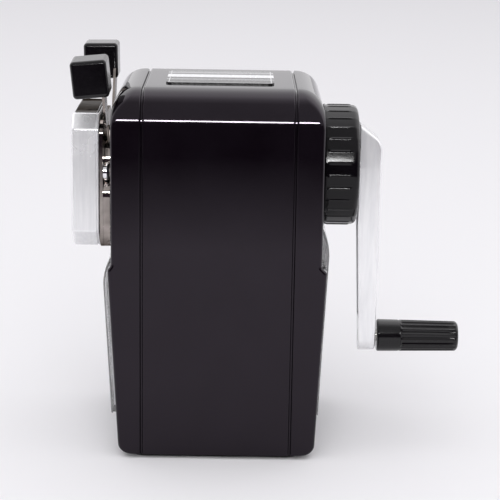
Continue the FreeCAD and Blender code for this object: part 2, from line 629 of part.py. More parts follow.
def build_rods_and_springs():
    """Two guide rods with stop rings, the springs that pull the holder home, and the stop studs."""
    for side, sign in (("left", "-"), ("right", "")):
        across = f"{sign}rod_across"
        shaft = rod(f"rod_{side}", "rod_radius", "-clamp_front", "clamp_front + rod_end", across,
                    "rod_height")
        piece(shaft, f"guide_rod_{side}")
        ring = rod(f"stop_ring_{side}", "rod_radius + stop_wide", "rod_end - stop_back", "stop_thick",
                   across, "rod_height")
        core = rod(f"stop_core_{side}", "rod_radius", "rod_end - overshoot", "overshoot", across,
                   "rod_height")
        piece(cut(f"stop_{side}", ring, core), f"rod_stop_{side}")
        build_spring(side, across)
        stud = turned(f"stud_{side}", ("-clamp_back + running_gap", "0"), ("-hub_back - stud_short", "0"),
                      ("-hub_back - stud_short", "stud_radius - stud_round"),
                      ("-hub_back - stud_short - stud_round", "stud_radius",
                       "-hub_back - stud_short - stud_round", "stud_radius - stud_round", 1),
                      ("-clamp_back + running_gap", "stud_radius"), z="stud_height")
        bind(stud, Placement__Base__x=f"{sign}stud_across")
        piece(stud, f"stop_stud_{side}")


def build_spring(side, across):
    """An open coil around a rod, from the front shell's inner wall to the rod's stop ring."""
    helix = doc.addObject("Part::Helix", f"spring_path_{side}")
    bind(helix, Radius="spring_radius", Pitch="spring_pitch", Height="spring_pitch * spring_turns")
    wire = doc.addObject("Part::Circle", f"spring_wire_{side}")
    bind(wire, Radius="spring_wire", Placement__Base__x="spring_radius")
    wire.Placement = FreeCAD.Placement(wire.Placement.Base, FreeCAD.Rotation(FreeCAD.Vector(1, 0, 0), 90))
    coil = doc.addObject("Part::Sweep", f"spring_coil_{side}")
    coil.Sections = [wire]
    coil.Spine = (helix, ["Edge1"])
    coil.Solid = True
    coil.Frenet = True
    place(coil, across, "-front_face + shell_wall + spring_wire + running_gap", "rod_height",
          axis=(1, 0, 0), angle=-90)
    piece(coil, f"guide_spring_{side}")


def build_levers():
    """Two ring levers that share the clamp plate's hub, each with an arm up to its knob."""
    layers = {"right": "clamp_back - lever_gap", "left": "clamp_back - 2 * lever_gap - lever_thick"}
    lift = value("knob_height") - value("axis_height")
    for side, sign in (("left", -1), ("right", 1)):
        owner = body(f"lever_{side}_body")
        front = layers[side]
        ring = sketch(owner, "XZ_Plane", front)
        circle(ring, "ring_outer")
        pad(owner, ring, "lever_thick", reverse=True)
        lean = math.atan2(sign * value("knob_across"), lift)
        along = (math.sin(lean), math.cos(lean))
        across = (math.cos(lean), -math.sin(lean))
        root, end = value("arm_root"), value("arm_reach")
        corners = [(root, -1), (end, -1), (end, 1), (root, 1)]
        arm = sketch(owner, "XZ_Plane", front)
        outline(arm, *[(f"{along[0] * reach:.6f} + arm_half_width * {across[0] * edge:.6f}",
                        f"{along[1] * reach:.6f} + arm_half_width * {across[1] * edge:.6f}")
                       for reach, edge in corners])
        pad(owner, arm, "lever_thick", reverse=True)
        hole = sketch(owner, "XZ_Plane", "clamp_front + overshoot")
        circle(hole, "hub_outer + ring_clearance")
        pocket(owner, hole, "2 * overshoot")
        place(owner, z="axis_height")
        piece(owner, f"lever_{side}")
        build_knob(side, sign, owner)


def build_knob(side, sign, lever):
    """A rounded block, splayed outwards and leaning forwards, slotted for its lever."""
    owner = body(f"knob_{side}_body")
    drawing = sketch(owner, "XY_Plane", "-knob_tall / 2")
    rectangle(drawing, "-knob_width / 2", "-knob_width / 2", "knob_width / 2", "knob_width / 2")
    block = pad(owner, drawing, "knob_tall")
    fillet(owner, block, "knob_round", lambda middle: True)
    splay = FreeCAD.Rotation(FreeCAD.Vector(0, 1, 0), sign * value(f"{side}_splay"))
    lean = FreeCAD.Rotation(FreeCAD.Vector(1, 0, 0), value(f"{side}_lean"))
    owner.Placement = FreeCAD.Placement(FreeCAD.Vector(), splay.multiply(lean))
    bind(owner, Placement__Base__x=f"{sign} * knob_across", Placement__Base__y="-knob_centre",
         Placement__Base__z="knob_height")
    piece(cut(f"knob_{side}_cut", owner, lever), f"knob_{side}")


def build_jaws():
    """Three claws on pins in the clamp plate; their tips close on the pencil."""
    reach = value("jaw_tip_radius")
    tip = (reach * math.cos(math.radians(60)), reach * math.sin(math.radians(60)))
    pins = []
    for index in range(3):
        turn = math.radians(120 * index)
        owner = body(f"jaw_body_{index + 1}")
        drawing = sketch(owner, "XZ_Plane", "clamp_front + jaw_gap")
        circle(drawing, "jaw_boss", "jaw_pivot", "0")
        pad(owner, drawing, "jaw_thick")
        claw = sketch(owner, "XZ_Plane", "clamp_front + jaw_gap")
        outline(
            claw,
            ("jaw_pivot + claw_root", "-claw_half"), ("jaw_pivot + claw_root", "claw_half"),
            ("jaw_pivot - claw_half", "claw_shoulder"),
            (f"{tip[0]:.4f} + claw_wide", f"{tip[1]:.4f} + claw_rise"),
            (f"{tip[0]:.4f}", f"{tip[1]:.4f}"),
            (f"{tip[0]:.4f} + claw_wide", f"{tip[1]:.4f} - claw_drop"),
            ("jaw_pivot - claw_heel", "-claw_heel_low"))
        pad(owner, claw, "jaw_thick")
        bore = sketch(owner, "XZ_Plane", "clamp_front - weld")
        circle(bore, "jaw_pin + running_gap", "jaw_pivot", "0")
        pocket(owner, bore, "overshoot", reverse=True)
        place(owner, z="axis_height", axis=(0, 1, 0), angle=-120 * index)
        piece(owner, f"jaw_{index + 1}")
        pins.append(rod(f"jaw_pin_{index + 1}", "jaw_pin", "-clamp_front - jaw_thick - jaw_pin_proud",
                        "jaw_thick + jaw_pin_proud + clamp_front - clamp_back",
                        f"jaw_pivot * {math.cos(turn):.6f}",
                        f"axis_height + jaw_pivot * {math.sin(turn):.6f}"))
    piece(fuse("jaw_pin_set", *pins), "jaw_pins")


# ---------------------------------------------------------------- rear bearing, gears and cutter

def lug_ring(name, inner, outer, start, length):
    """Three bayonet lugs, 120 degrees apart."""
    lugs = []
    for index in range(3):
        wedge = doc.addObject("Part::Cylinder", f"{name}_{index + 1}")
        bind(wedge, Radius=outer, Height=length, Angle="lug_turn")
        turn = FreeCAD.Rotation(FreeCAD.Vector(0, 1, 0), 120 * index)
        wedge.Placement = FreeCAD.Placement(
            FreeCAD.Vector(), turn.multiply(FreeCAD.Rotation(FreeCAD.Vector(1, 0, 0), -90)))
        bind(wedge, Placement__Base__y=start, Placement__Base__z="axis_height")
        lugs.append(wedge)
    core = rod(f"{name}_core", inner, f"{start} - overshoot", f"{length} + 2 * overshoot")
    return cut(name, fuse(f"{name}_whole", *lugs), core)


def build_bearing():
    """Die-cast housing: a tube for the ring gear, a flange inside the rear shell and a neck."""
    inside = "(rear_face - shell_wall)"
    shape = turned(
        "housing",
        ("housing_front", "housing_inner"), (f"{inside} - housing_step", "housing_inner"),
        (f"{inside} - housing_step", "bush_outer"), ("neck_end", "bush_outer"),
        ("neck_end", "bush_outer + tube_wall"),
        (f"{inside} + housing_web - housing_step", "bush_outer + tube_wall"),
        (f"{inside} + housing_web - housing_step", "neck_radius - neck_wall"),
        ("neck_end", "neck_radius - neck_wall"), ("neck_end", "neck_radius"), (inside, "neck_radius"),
        (inside, "flange_radius"), (f"{inside} - flange_thick", "flange_radius"),
        (f"{inside} - flange_thick", "housing_outer"), ("housing_front", "housing_outer"))
    lugs = lug_ring("neck_lugs", "neck_radius - weld", "neck_lug_radius", "rear_face + neck_lug_start",
                    "neck_lug_thick")
    trim = box("housing_trim", ("-flange_radius", "0", "axis_height - flange_radius - overshoot"),
               ("flange_radius", inside, "axis_height - housing_flat"))
    piece(cut("housing_whole", fuse("housing_lugged", shape, lugs), trim), "bearing_housing")
    bush_bore, bush_end = "shaft_radius + running_gap", "neck_end + bush_proud"
    bush = turned("bush", (f"{inside} - housing_step", bush_bore), (bush_end, bush_bore),
                  (bush_end, "bush_outer"), (f"{inside} - housing_step", "bush_outer"))
    piece(bush, "rear_bush")


def toothed(name, base_outer, base_inner, foot, tip, foot_half, tip_half, count, width):
    """A gear about the Y axis: a base ring with one tooth towards +Z, patterned around it."""
    owner = body(name)
    base = sketch(owner, "XZ_Plane", f"-{width} / 2")
    circle(base, base_outer)
    circle(base, base_inner)
    pad(owner, base, width)
    tooth = sketch(owner, "XZ_Plane", f"-{width} / 2")
    outline(tooth, (f"-{foot_half}", foot), (foot_half, foot), (tip_half, tip), (f"-{tip_half}", tip))
    pattern(owner, pad(owner, tooth, width), tooth, count)
    return owner


def build_gears():
    """A fixed ring gear inside the housing, and the pinion that rolls round it."""
    ring = toothed("ring_gear_body", "housing_inner", "ring_root", "ring_root + weld", "ring_tip",
                   "ring_tooth_foot", "ring_tooth_tip", "ring_teeth", "ring_width")
    half_pitch = 180.0 / value("ring_teeth")
    place(ring, y="gear_mesh", z="axis_height", axis=(0, 1, 0), angle=half_pitch)
    piece(ring, "ring_gear")
    pinion = toothed("pinion_body", "pinion_root", "axle_radius + axle_gap", "pinion_root - weld",
                     "pinion_tip", "pinion_tooth_foot", "pinion_tooth_tip", "pinion_teeth",
                     "pinion_width")
    piece(on_cutter_axis(pinion), "cutter_pinion")


def on_cutter_axis(item, along="0"):
    """Place a piece whose own axis is Y on the tilted cutter axis, `along` behind the gear mesh."""
    tilt = FreeCAD.Rotation(FreeCAD.Vector(1, 0, 0), -value("cutter_tilt"))
    item.Placement = FreeCAD.Placement(FreeCAD.Vector(), tilt)
    return bind(item, Placement__Base__y=f"gear_mesh + ({along}) * cos(cutter_tilt)",
                Placement__Base__z=f"axis_height + gear_offset - ({along}) * sin(cutter_tilt)")


def fluted_section(along, turn):
    """One saw-toothed cross-section of the cutter, at a distance along its axis and a twist."""
    count = int(value("cutter_teeth"))
    outer = value("cutter_radius")
    points = []
    for index in range(count):
        start = turn + 2 * math.pi * index / count
        for share, radius in ((0.0, outer), (value("tooth_land"), outer),
                              (value("tooth_foot"), outer - value("tooth_deep"))):
            angle = start + share * 2 * math.pi / count
            points.append(FreeCAD.Vector(radius * math.cos(angle), along, radius * math.sin(angle)))
    return Part.makePolygon(points + points[:1])


def build_cutter():
    """The hardened helical cutter: lofted saw teeth, a neck to the pinion and a bore for its axle."""
    length = value("cutter_length")
    steps = int(value("cutter_sections"))
    sections = [fluted_section(-value("cutter_gap") - length * step / steps,
                               math.radians(value("cutter_twist")) * step / steps)
                for step in range(steps + 1)]
    blades = Part.makeLoft(sections, True, True)
    axis = FreeCAD.Vector(0, 1, 0)
    neck = Part.makeCylinder(value("cutter_neck_radius"), value("cutter_neck_long"),
                             FreeCAD.Vector(0, -value("cutter_neck_start"), 0), axis)
    bore = Part.makeCylinder(value("axle_radius + axle_gap"), value("cutter_length + 2 * overshoot"),
                             FreeCAD.Vector(0, -value("cutter_length + overshoot"), 0), axis)
    cutter = doc.addObject("Part::Feature", "cutter")
    cutter.Shape = blades.fuse(neck).cut(bore)
    piece(on_cutter_axis(cutter), "helical_cutter")
    axle = doc.addObject("Part::Cylinder", "axle")
    bind(axle, Radius="axle_radius", Height="cutter_length + axle_spare")
    tilt = FreeCAD.Rotation(FreeCAD.Vector(1, 0, 0), -90 - value("cutter_tilt"))
    axle.Placement = FreeCAD.Placement(FreeCAD.Vector(), tilt)
    back = "(cutter_length + axle_front)"
    bind(axle, Placement__Base__y=f"gear_mesh - {back} * cos(cutter_tilt)",
         Placement__Base__z=f"axis_height + gear_offset + {back} * sin(cutter_tilt)")
    piece(axle, "cutter_axle")
    return axle


def build_carrier(axle):
    """The cage that carries the cutter round the pencil: front disc, half-round spine and rear disc."""
    hub_start, disc_start = "-guide_end - carrier_hub_long", "-guide_end - carrier_disc_gap"
    hub_bore, hub_outer = "guide_outer + carrier_fit", "guide_outer + carrier_hub_wall"
    front = turned("carrier_front", (hub_start, hub_bore), ("-carrier_start", hub_bore),
                   ("-carrier_start", "carrier_disc"), (disc_start, "carrier_disc"),
                   (disc_start, hub_outer), (hub_start, hub_outer))
    spine_start, spine_end = "-carrier_start - carrier_lap", "carrier_back + carrier_lap"
    spine = turned("carrier_spine", (spine_start, "carrier_inner"), (spine_end, "carrier_inner"),
                   (spine_end, "carrier_outer"), (spine_start, "carrier_outer"))
    upper = box("carrier_upper", ("-carrier_disc", "-carrier_start", "axis_height - carrier_split"),
                ("carrier_disc", "carrier_back", "axis_height + carrier_disc"))
    window = box("carrier_window",
                 ("-carrier_slot_half", "carrier_slot_start", "axis_height - carrier_disc"),
                 ("carrier_slot_half", "carrier_slot_end", "axis_height"))
    rear = rod("carrier_rear", "carrier_outer", "carrier_back", "carrier_rear_thick")
    cage = fuse("carrier_cage", front, cut("carrier_half", spine, upper, window), rear)
    piece(cut("carrier", cage, axle), "cutter_carrier")
    piece(rod("shaft", "shaft_radius", "carrier_back + carrier_rear_thick",
              "crank_outer - screw_seat - carrier_back - carrier_rear_thick"), "carrier_shaft")


# ---------------------------------------------------------------- lock collar, crank and grip

def build_collar():
    """Black ring nut with flat facets, a round-edged back and three bayonet lugs."""
    shape = turned(
        "collar_form",
        ("collar_front", "collar_bore"), ("collar_back - collar_wall", "collar_bore"),
        ("collar_back - collar_wall", "collar_hole"),
        ("collar_back", "collar_hole"), ("collar_back", "collar_radius - collar_round"),
        ("collar_back - collar_round", "collar_radius", "collar_back - collar_round",
         "collar_radius - collar_round", 1),
        ("collar_front", "collar_radius"))
    facets = doc.addObject("Part::Prism", "collar_facets")
    bind(facets, Polygon="collar_flats", Circumradius="collar_radius",
         Height="collar_back - collar_front + 2 * overshoot")
    place(facets, "0", "collar_front - overshoot", "axis_height", axis=(1, 0, 0), angle=-90)
    lugs = lug_ring("collar_lugs", "collar_lug_radius", "collar_bore + weld",
                    "collar_front + collar_lug_start", "collar_lug_thick")
    piece(fuse("collar", common("collar_ring", shape, facets), lugs), "lock_collar")


def build_crank():
    """A pressed arm: flat flanks, a rounded top corner, a tapering depth and a round foot at the grip."""
    owner = body("arm")
    drawing = sketch(owner, "XZ_Plane", "-crank_inner")
    outline(drawing,
            ("-crank_end_radius", "-crank_throw"),
            ("crank_end_radius", "-crank_throw", "0", "-crank_throw", 1),
            ("crank_half_width", "0"), ("crank_half_width", "crank_top"),
            ("-crank_half_width", "crank_top"), ("-crank_half_width", "0"))
    block = pad(owner, drawing, "crank_outer - crank_inner", reverse=True)
    corner = sketch(owner, "YZ_Plane")
    outline(corner, ("crank_inner - overshoot", "crown_back"), ("crank_inner", "crown_back"),
            ("crank_inner + crown_out", "crown_knee"),
            ("crank_outer", "crown_front", "crank_inner + crown_centre_out", "crown_centre_up", -1),
            ("crank_outer + overshoot", "crown_front"),
            ("crank_outer + overshoot", "crank_top + overshoot"),
            ("crank_inner - overshoot", "crank_top + overshoot"))
    through = "2 * crank_half_width + overshoot"
    pocket(owner, corner, through, symmetric=True)
    taper = sketch(owner, "YZ_Plane")
    outline(taper, ("crank_inner - overshoot", "-crank_lean_start"),
            ("crank_inner", "-crank_lean_start"), ("crank_inner + crank_lean", "-crank_throw"),
            ("crank_inner + crank_lean", "-crank_throw - overshoot"),
            ("crank_inner - overshoot", "-crank_throw - overshoot"))
    pocket(owner, taper, through, symmetric=True)
    hollow = sketch(owner, "XZ_Plane", "-crank_inner + overshoot")
    narrow, wide = "(crank_end_radius - crank_wall)", "(crank_half_width - crank_wall)"
    outline(hollow, (f"-{narrow}", "-crank_throw + hollow_foot"), (narrow, "-crank_throw + hollow_foot"),
            (wide, "-hollow_top"), (f"-{wide}", "-hollow_top"))
    pocket(owner, hollow, "crank_outer - crank_inner - crank_wall + overshoot")
    outer, below = value("crank_outer"), value("crown_front - crank_round")
    fillet(owner, owner.Tip, "crank_round",
           lambda middle: abs(middle.y - outer) < 1e-3 and middle.z < below)
    place(owner, z="axis_height")
    shaft_hole = rod("arm_shaft_hole", "shaft_radius", "crank_inner - overshoot",
                     "crank_outer - screw_seat - crank_inner + overshoot")
    pin_hole = rod("arm_pin_hole", "grip_pin_radius", "crank_inner - overshoot", "3 * overshoot",
                   z="axis_height - crank_throw")
    screw_hole = rod("arm_screw_hole", "screw_radius + screw_fit", "crank_outer - screw_seat", "overshoot")
    piece(cut("arm_cut", owner, shaft_hole, pin_hole, screw_hole), "crank_arm")
    head = turned("screw_head", ("crank_outer - screw_seat", "0"), ("crank_outer - screw_low", "0"),
                  ("crank_outer - screw_low", "screw_radius - screw_round"),
                  ("crank_outer - screw_round", "screw_radius"),
                  ("crank_outer - screw_seat", "screw_radius"))
    slot = box("screw_slot", ("-screw_slot_half", "crank_outer - screw_slot_deep",
                              "axis_height - screw_slot_reach"),
               ("screw_slot_half", "crank_outer + overshoot", "axis_height + screw_slot_reach"))
    piece(cut("screw_cut", head, slot), "crank_screw")


def build_grip():
    """The black grip turns on a riveted pin: a smooth collar, then fine flutes, then a plug in its end."""
    low = "axis_height - crank_throw"
    head, neck = "grip_end - rivet_end", "grip_end - rivet_back"
    pin = turned("pin", ("crank_inner + rivet_start", "0"), (head, "0"), (head, "rivet_radius"),
                 (neck, "rivet_radius"), (neck, "grip_pin_radius"),
                 ("crank_inner + rivet_start", "grip_pin_radius"), z=low)
    piece(pin, "grip_pin")
    owner = body("grip_body")
    bore = "grip_pin_radius + running_gap"
    revolve(owner, outline(
        sketch(owner, "YZ_Plane"),
        ("grip_start", bore), ("grip_end - grip_bore_end", bore),
        ("grip_end - grip_bore_end", "plug_radius"), ("grip_end", "plug_radius"),
        ("grip_end", "grip_radius - grip_round"),
        ("grip_end - grip_round", "grip_radius", "grip_end - grip_round", "grip_radius - grip_round", 1),
        ("grip_start + grip_bevel", "grip_radius"), ("grip_start", "grip_radius - grip_bevel")))
    flute = sketch(owner, "XZ_Plane", "-grip_start - grip_smooth")
    outline(flute, ("-flute_half", "grip_radius + flute_over"), ("-flute_foot", "grip_radius - flute_deep"),
            ("flute_foot", "grip_radius - flute_deep"), ("flute_half", "grip_radius + flute_over"))
    groove = pocket(owner, flute, "grip_end - grip_start - grip_smooth - flute_stop")
    pattern(owner, groove, flute, "grip_flutes")
    place(owner, z=low)
    piece(owner, "grip")
    plug = turned("plug", ("grip_end - plug_start", "0"), ("grip_end - plug_end", "0"),
                  ("grip_end - plug_end", "plug_radius - plug_edge"),
                  ("grip_end - plug_edge", "plug_radius"), ("grip_end - plug_start", "plug_radius"),
                  z=low)
    piece(plug, "grip_plug")


# ---------------------------------------------------------------- build, check and write

build_wrap()
build_front_shell()
build_rear_shell()
build_base()
build_badge()
build_drawer()
build_rear_window()
build_guide()
build_front_plate()
build_holder_cover()
build_clamp_plate()
build_rod_bridge()
build_rods_and_springs()
build_levers()
build_jaws()
build_bearing()
build_gears()
build_carrier(build_cutter())
build_collar()
build_crank()
build_grip()
doc.recompute()

for item in doc.Objects:
    if "Invalid" in item.State or "Error" in item.State:
        raise RuntimeError(f"{item.Name} did not compute: {item.State}")
for item in pieces:
    if item.Shape.isNull() or not item.Shape.isValid() or item.Shape.Volume <= 0:
        raise RuntimeError(f"{item.Label} has no valid shape")

os.makedirs("parts", exist_ok=True)
for item in pieces:
    item.Shape.exportStep(os.path.join("parts", item.Label + ".step"))
    corner = item.Shape.optimalBoundingBox()
    print(f"{item.Label:20s} solids {len(item.Shape.Solids)} volume {item.Shape.Volume:10.1f} "
          f"x {corner.XMin:7.2f} {corner.XMax:7.2f} y {corner.YMin:7.2f} {corner.YMax:7.2f} "
          f"z {corner.ZMin:7.2f} {corner.ZMax:7.2f}")
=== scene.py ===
"""Looks for the hand-cranked pencil sharpener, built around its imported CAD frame.

Metres, +Z up, the pencil goes in along +Y and the crank is at +Y.  The camera stands at +X.
"""
import bpy
import bmesh
import json
import math
from mathutils import Matrix, Vector
from mathutils.geometry import tessellate_polygon


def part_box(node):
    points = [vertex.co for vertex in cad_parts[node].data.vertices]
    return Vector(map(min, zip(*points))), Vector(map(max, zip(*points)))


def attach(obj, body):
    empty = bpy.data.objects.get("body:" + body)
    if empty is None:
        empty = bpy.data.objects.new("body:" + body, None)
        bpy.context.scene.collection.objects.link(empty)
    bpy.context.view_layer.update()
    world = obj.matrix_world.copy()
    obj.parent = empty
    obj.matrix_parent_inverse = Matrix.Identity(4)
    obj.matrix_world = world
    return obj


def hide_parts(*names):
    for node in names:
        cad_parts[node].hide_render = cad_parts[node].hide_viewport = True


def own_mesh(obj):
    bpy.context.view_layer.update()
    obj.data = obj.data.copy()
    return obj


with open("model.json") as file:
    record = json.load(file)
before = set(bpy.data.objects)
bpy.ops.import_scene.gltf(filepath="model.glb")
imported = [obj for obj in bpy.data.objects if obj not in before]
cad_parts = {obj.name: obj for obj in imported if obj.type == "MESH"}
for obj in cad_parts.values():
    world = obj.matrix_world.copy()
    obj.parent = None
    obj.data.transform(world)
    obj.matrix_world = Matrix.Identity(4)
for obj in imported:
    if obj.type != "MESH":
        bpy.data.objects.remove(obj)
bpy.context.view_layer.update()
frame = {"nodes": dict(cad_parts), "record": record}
NODES = frame["nodes"]

MM = 0.001


# ---------------------------------------------------------------- materials

def node(tree, kind, **sockets):
    """A shader node with values set on its named inputs."""
    made = tree.nodes.new(kind)
    for name, value in sockets.items():
        made.inputs[name.replace("_", " ")].default_value = value
    return made


def blank(name):
    """A material with one Principled shader; gives the material, its tree and the shader."""
    material = bpy.data.materials.new(name)
    material.use_nodes = True
    tree = material.node_tree
    tree.nodes.clear()
    shader = tree.nodes.new("ShaderNodeBsdfPrincipled")
    output = tree.nodes.new("ShaderNodeOutputMaterial")
    tree.links.new(shader.outputs["BSDF"], output.inputs["Surface"])
    return material, tree, shader


def grain(tree, scale, stretch=(1, 1, 1), detail=4.0, offset=0.0):
    """Noise in object space, stretched along the axes."""
    coordinates = tree.nodes.new("ShaderNodeTexCoord")
    mapping = tree.nodes.new("ShaderNodeMapping")
    mapping.inputs["Scale"].default_value = stretch
    mapping.inputs["Location"].default_value = (offset, offset, offset)
    noise = node(tree, "ShaderNodeTexNoise", Scale=scale, Detail=detail, Roughness=0.6)
    tree.links.new(coordinates.outputs["Object"], mapping.inputs["Vector"])
    tree.links.new(mapping.outputs["Vector"], noise.inputs["Vector"])
    return noise.outputs["Fac"]


def spread(tree, source, low, high, start=0.3, stop=0.7):
    """Map a 0-1 signal onto low-high between two of its levels."""
    ramp = tree.nodes.new("ShaderNodeMapRange")
    for socket, value in (("From Min", start), ("From Max", stop), ("To Min", low), ("To Max", high)):
        ramp.inputs[socket].default_value = value
    tree.links.new(source, ramp.inputs["Value"])
    return ramp.outputs["Result"]


def tint(tree, source, first, second, start=0.35, stop=0.65):
    """Blend two colours by a signal."""
    ramp = tree.nodes.new("ShaderNodeValToRGB")
    ramp.color_ramp.elements[0].position = start
    ramp.color_ramp.elements[1].position = stop
    ramp.color_ramp.elements[0].color = (*first, 1)
    ramp.color_ramp.elements[1].color = (*second, 1)
    tree.links.new(source, ramp.inputs["Fac"])
    return ramp.outputs["Color"]


def bump(tree, shader, source, distance, strength=1.0):
    made = node(tree, "ShaderNodeBump", Strength=strength, Distance=distance)
    tree.links.new(source, made.inputs["Height"])
    tree.links.new(made.outputs["Normal"], shader.inputs["Normal"])


def surface(name, first, second, rough, scale, metallic=0.0, ior=1.5, fine=None, relief=0.0, fixed=None):
    """A finish with colour variation, uneven gloss and a fine relief."""
    material, tree, shader = blank(name)
    shader.inputs["Metallic"].default_value = metallic
    shader.inputs["IOR"].default_value = ior
    for socket, value in (fixed or {}).items():
        shader.inputs[socket].default_value = value
    broad = grain(tree, scale)
    tree.links.new(tint(tree, broad, first, second), shader.inputs["Base Color"])
    small = grain(tree, fine or scale * 6, (1, 1, 1), 6.0, 3.7)
    tree.links.new(spread(tree, small, rough[0], rough[1]), shader.inputs["Roughness"])
    if relief:
        bump(tree, shader, small, relief)
    return material


def make_enamel():
    return surface("black_enamel_gloss", (0.0028, 0.0018, 0.0030), (0.0042, 0.0030, 0.0046),
                   (0.035, 0.075), 60, ior=1.38, fine=420, relief=0.0000016,
                   fixed={"Specular Tint": (1.0, 0.88, 1.03, 1)})


def make_chrome():
    return surface("chrome_plate", (0.80, 0.80, 0.82), (0.88, 0.87, 0.89), (0.05, 0.11), 90, metallic=1.0,
                   fine=700, relief=0.0000015)


def make_satin(name, stretch, rough):
    """Satin-brushed plating: part mirror, part scatter, with fine streaks along one direction."""
    material, tree, shader = blank(name)
    shader.inputs["Metallic"].default_value = 0.5
    shader.inputs["IOR"].default_value = 1.6
    streaks = grain(tree, 130, stretch, 5.0)
    cloud = grain(tree, 45, (1, 1, 1), 3.0, 2.1)
    colour = tint(tree, streaks, (0.82, 0.82, 0.84), (0.92, 0.92, 0.93))
    tree.links.new(colour, shader.inputs["Base Color"])
    tree.links.new(spread(tree, cloud, rough[0], rough[1]), shader.inputs["Roughness"])
    bump(tree, shader, streaks, 0.000003)
    return material


def make_painted_shade_plating(name, dark, bright, scale, start, stop):
    """Bright plating painted darker and a little brown, unevenly: painted shade and painted reflection."""
    material, tree, shader = blank(name)
    shader.inputs["Metallic"].default_value = 1.0
    shader.inputs["Specular Tint"].default_value = (0.25, 0.24, 0.23, 1)
    patches = grain(tree, scale, (1, 1, 1), 3.0, 5.3)
    colour = tint(tree, patches, dark, bright, start, stop)
    tree.links.new(colour, shader.inputs["Base Color"])
    fine = grain(tree, 700, (1, 1, 1), 5.0, 1.9)
    tree.links.new(spread(tree, fine, 0.05, 0.12), shader.inputs["Roughness"])
    bump(tree, shader, patches, 0.00002)
    return material


def make_gloss_black():
    return surface("gloss_black_plastic", (0.0018, 0.0014, 0.0022), (0.0034, 0.0028, 0.0040), (0.10, 0.20),
                   120, ior=1.42, fine=1500, relief=0.000004)


def make_collar_black():
    return surface("collar_black_plastic", (0.0016, 0.0012, 0.0020), (0.0032, 0.0026, 0.0038), (0.10, 0.18),
                   150, ior=1.33, fine=1800, relief=0.000006)


def make_grip_black():
    return surface("grip_black_plastic", (0.0018, 0.0014, 0.0022), (0.0036, 0.0030, 0.0040), (0.12, 0.22),
                   150, ior=1.44, fine=1800, relief=0.000005)


def make_steel(name, first, second, rough, relief=0.000003):
    return surface(name, first, second, rough, 160, metallic=1.0, fine=900, relief=relief)


def make_clear():
    """Clear styrene: see-through with a slight grey, moulded smooth."""
    material, tree, shader = blank("clear_styrene")
    shader.inputs["IOR"].default_value = 1.49
    shader.inputs["Transmission Weight"].default_value = 0.90
    haze = grain(tree, 70)
    tree.links.new(tint(tree, haze, (0.955, 0.96, 0.97), (0.985, 0.985, 0.99)), shader.inputs["Base Color"])
    fine = grain(tree, 500, (1, 1, 1), 5.0, 1.3)
    tree.links.new(spread(tree, fine, 0.04, 0.12), shader.inputs["Roughness"])
    bump(tree, shader, haze, 0.00002)
    return material


def make_badge():
    """A printed plate: plain bars of grey inside a thin light border, and no lettering."""
    material, tree, shader = blank("badge_print")
    low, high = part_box("top_badge")
    coordinates = tree.nodes.new("ShaderNodeTexCoord")
    split = tree.nodes.new("ShaderNodeSeparateXYZ")
    tree.links.new(coordinates.outputs["Object"], split.inputs["Vector"])
    edges = []
    for axis, reach in (("X", high.x), ("Y", high.y)):
        across = tree.nodes.new("ShaderNodeMath")
        across.operation = "ABSOLUTE"
        tree.links.new(split.outputs[axis], across.inputs[0])
        edges.append(spread(tree, across.outputs["Value"], 0.0, 1.0, reach - 0.002, reach))
    edge = tree.nodes.new("ShaderNodeMath")
    edge.operation = "MAXIMUM"
    tree.links.new(edges[0], edge.inputs[0])
    tree.links.new(edges[1], edge.inputs[1])
    border = tree.nodes.new("ShaderNodeValToRGB")
    border.color_ramp.interpolation = "CONSTANT"
    bars = tree.nodes.new("ShaderNodeValToRGB")
    bars.color_ramp.interpolation = "CONSTANT"
    levels = ((border, ((0.0, 0.0), (0.45, 0.55), (0.62, 0.0))),
              (bars, ((0.0, 0.10), (0.10, 0.34), (0.22, 0.10), (0.32, 0.86), (0.54, 0.015), (0.66, 0.24),
                      (0.76, 0.015))))
    for ramp, stops in levels:
        while len(ramp.color_ramp.elements) < len(stops):
            ramp.color_ramp.elements.new(0.5)
        for element, (position, level) in zip(ramp.color_ramp.elements, stops):
            element.position = position
            element.color = (level, level, level * 1.03, 1)
    tree.links.new(edge.outputs["Value"], border.inputs["Fac"])
    tree.links.new(spread(tree, split.outputs["X"], 0.0, 1.0, low.x, high.x), bars.inputs["Fac"])
    print_mix = tree.nodes.new("ShaderNodeMix")
    print_mix.data_type = "RGBA"
    print_mix.blend_type = "LIGHTEN"
    print_mix.inputs["Factor"].default_value = 1.0
    tree.links.new(bars.outputs["Color"], print_mix.inputs["A"])
    tree.links.new(border.outputs["Color"], print_mix.inputs["B"])
    tree.links.new(print_mix.outputs["Result"], shader.inputs["Base Color"])
    tree.links.new(spread(tree, grain(tree, 900), 0.16, 0.30), shader.inputs["Roughness"])
    return material


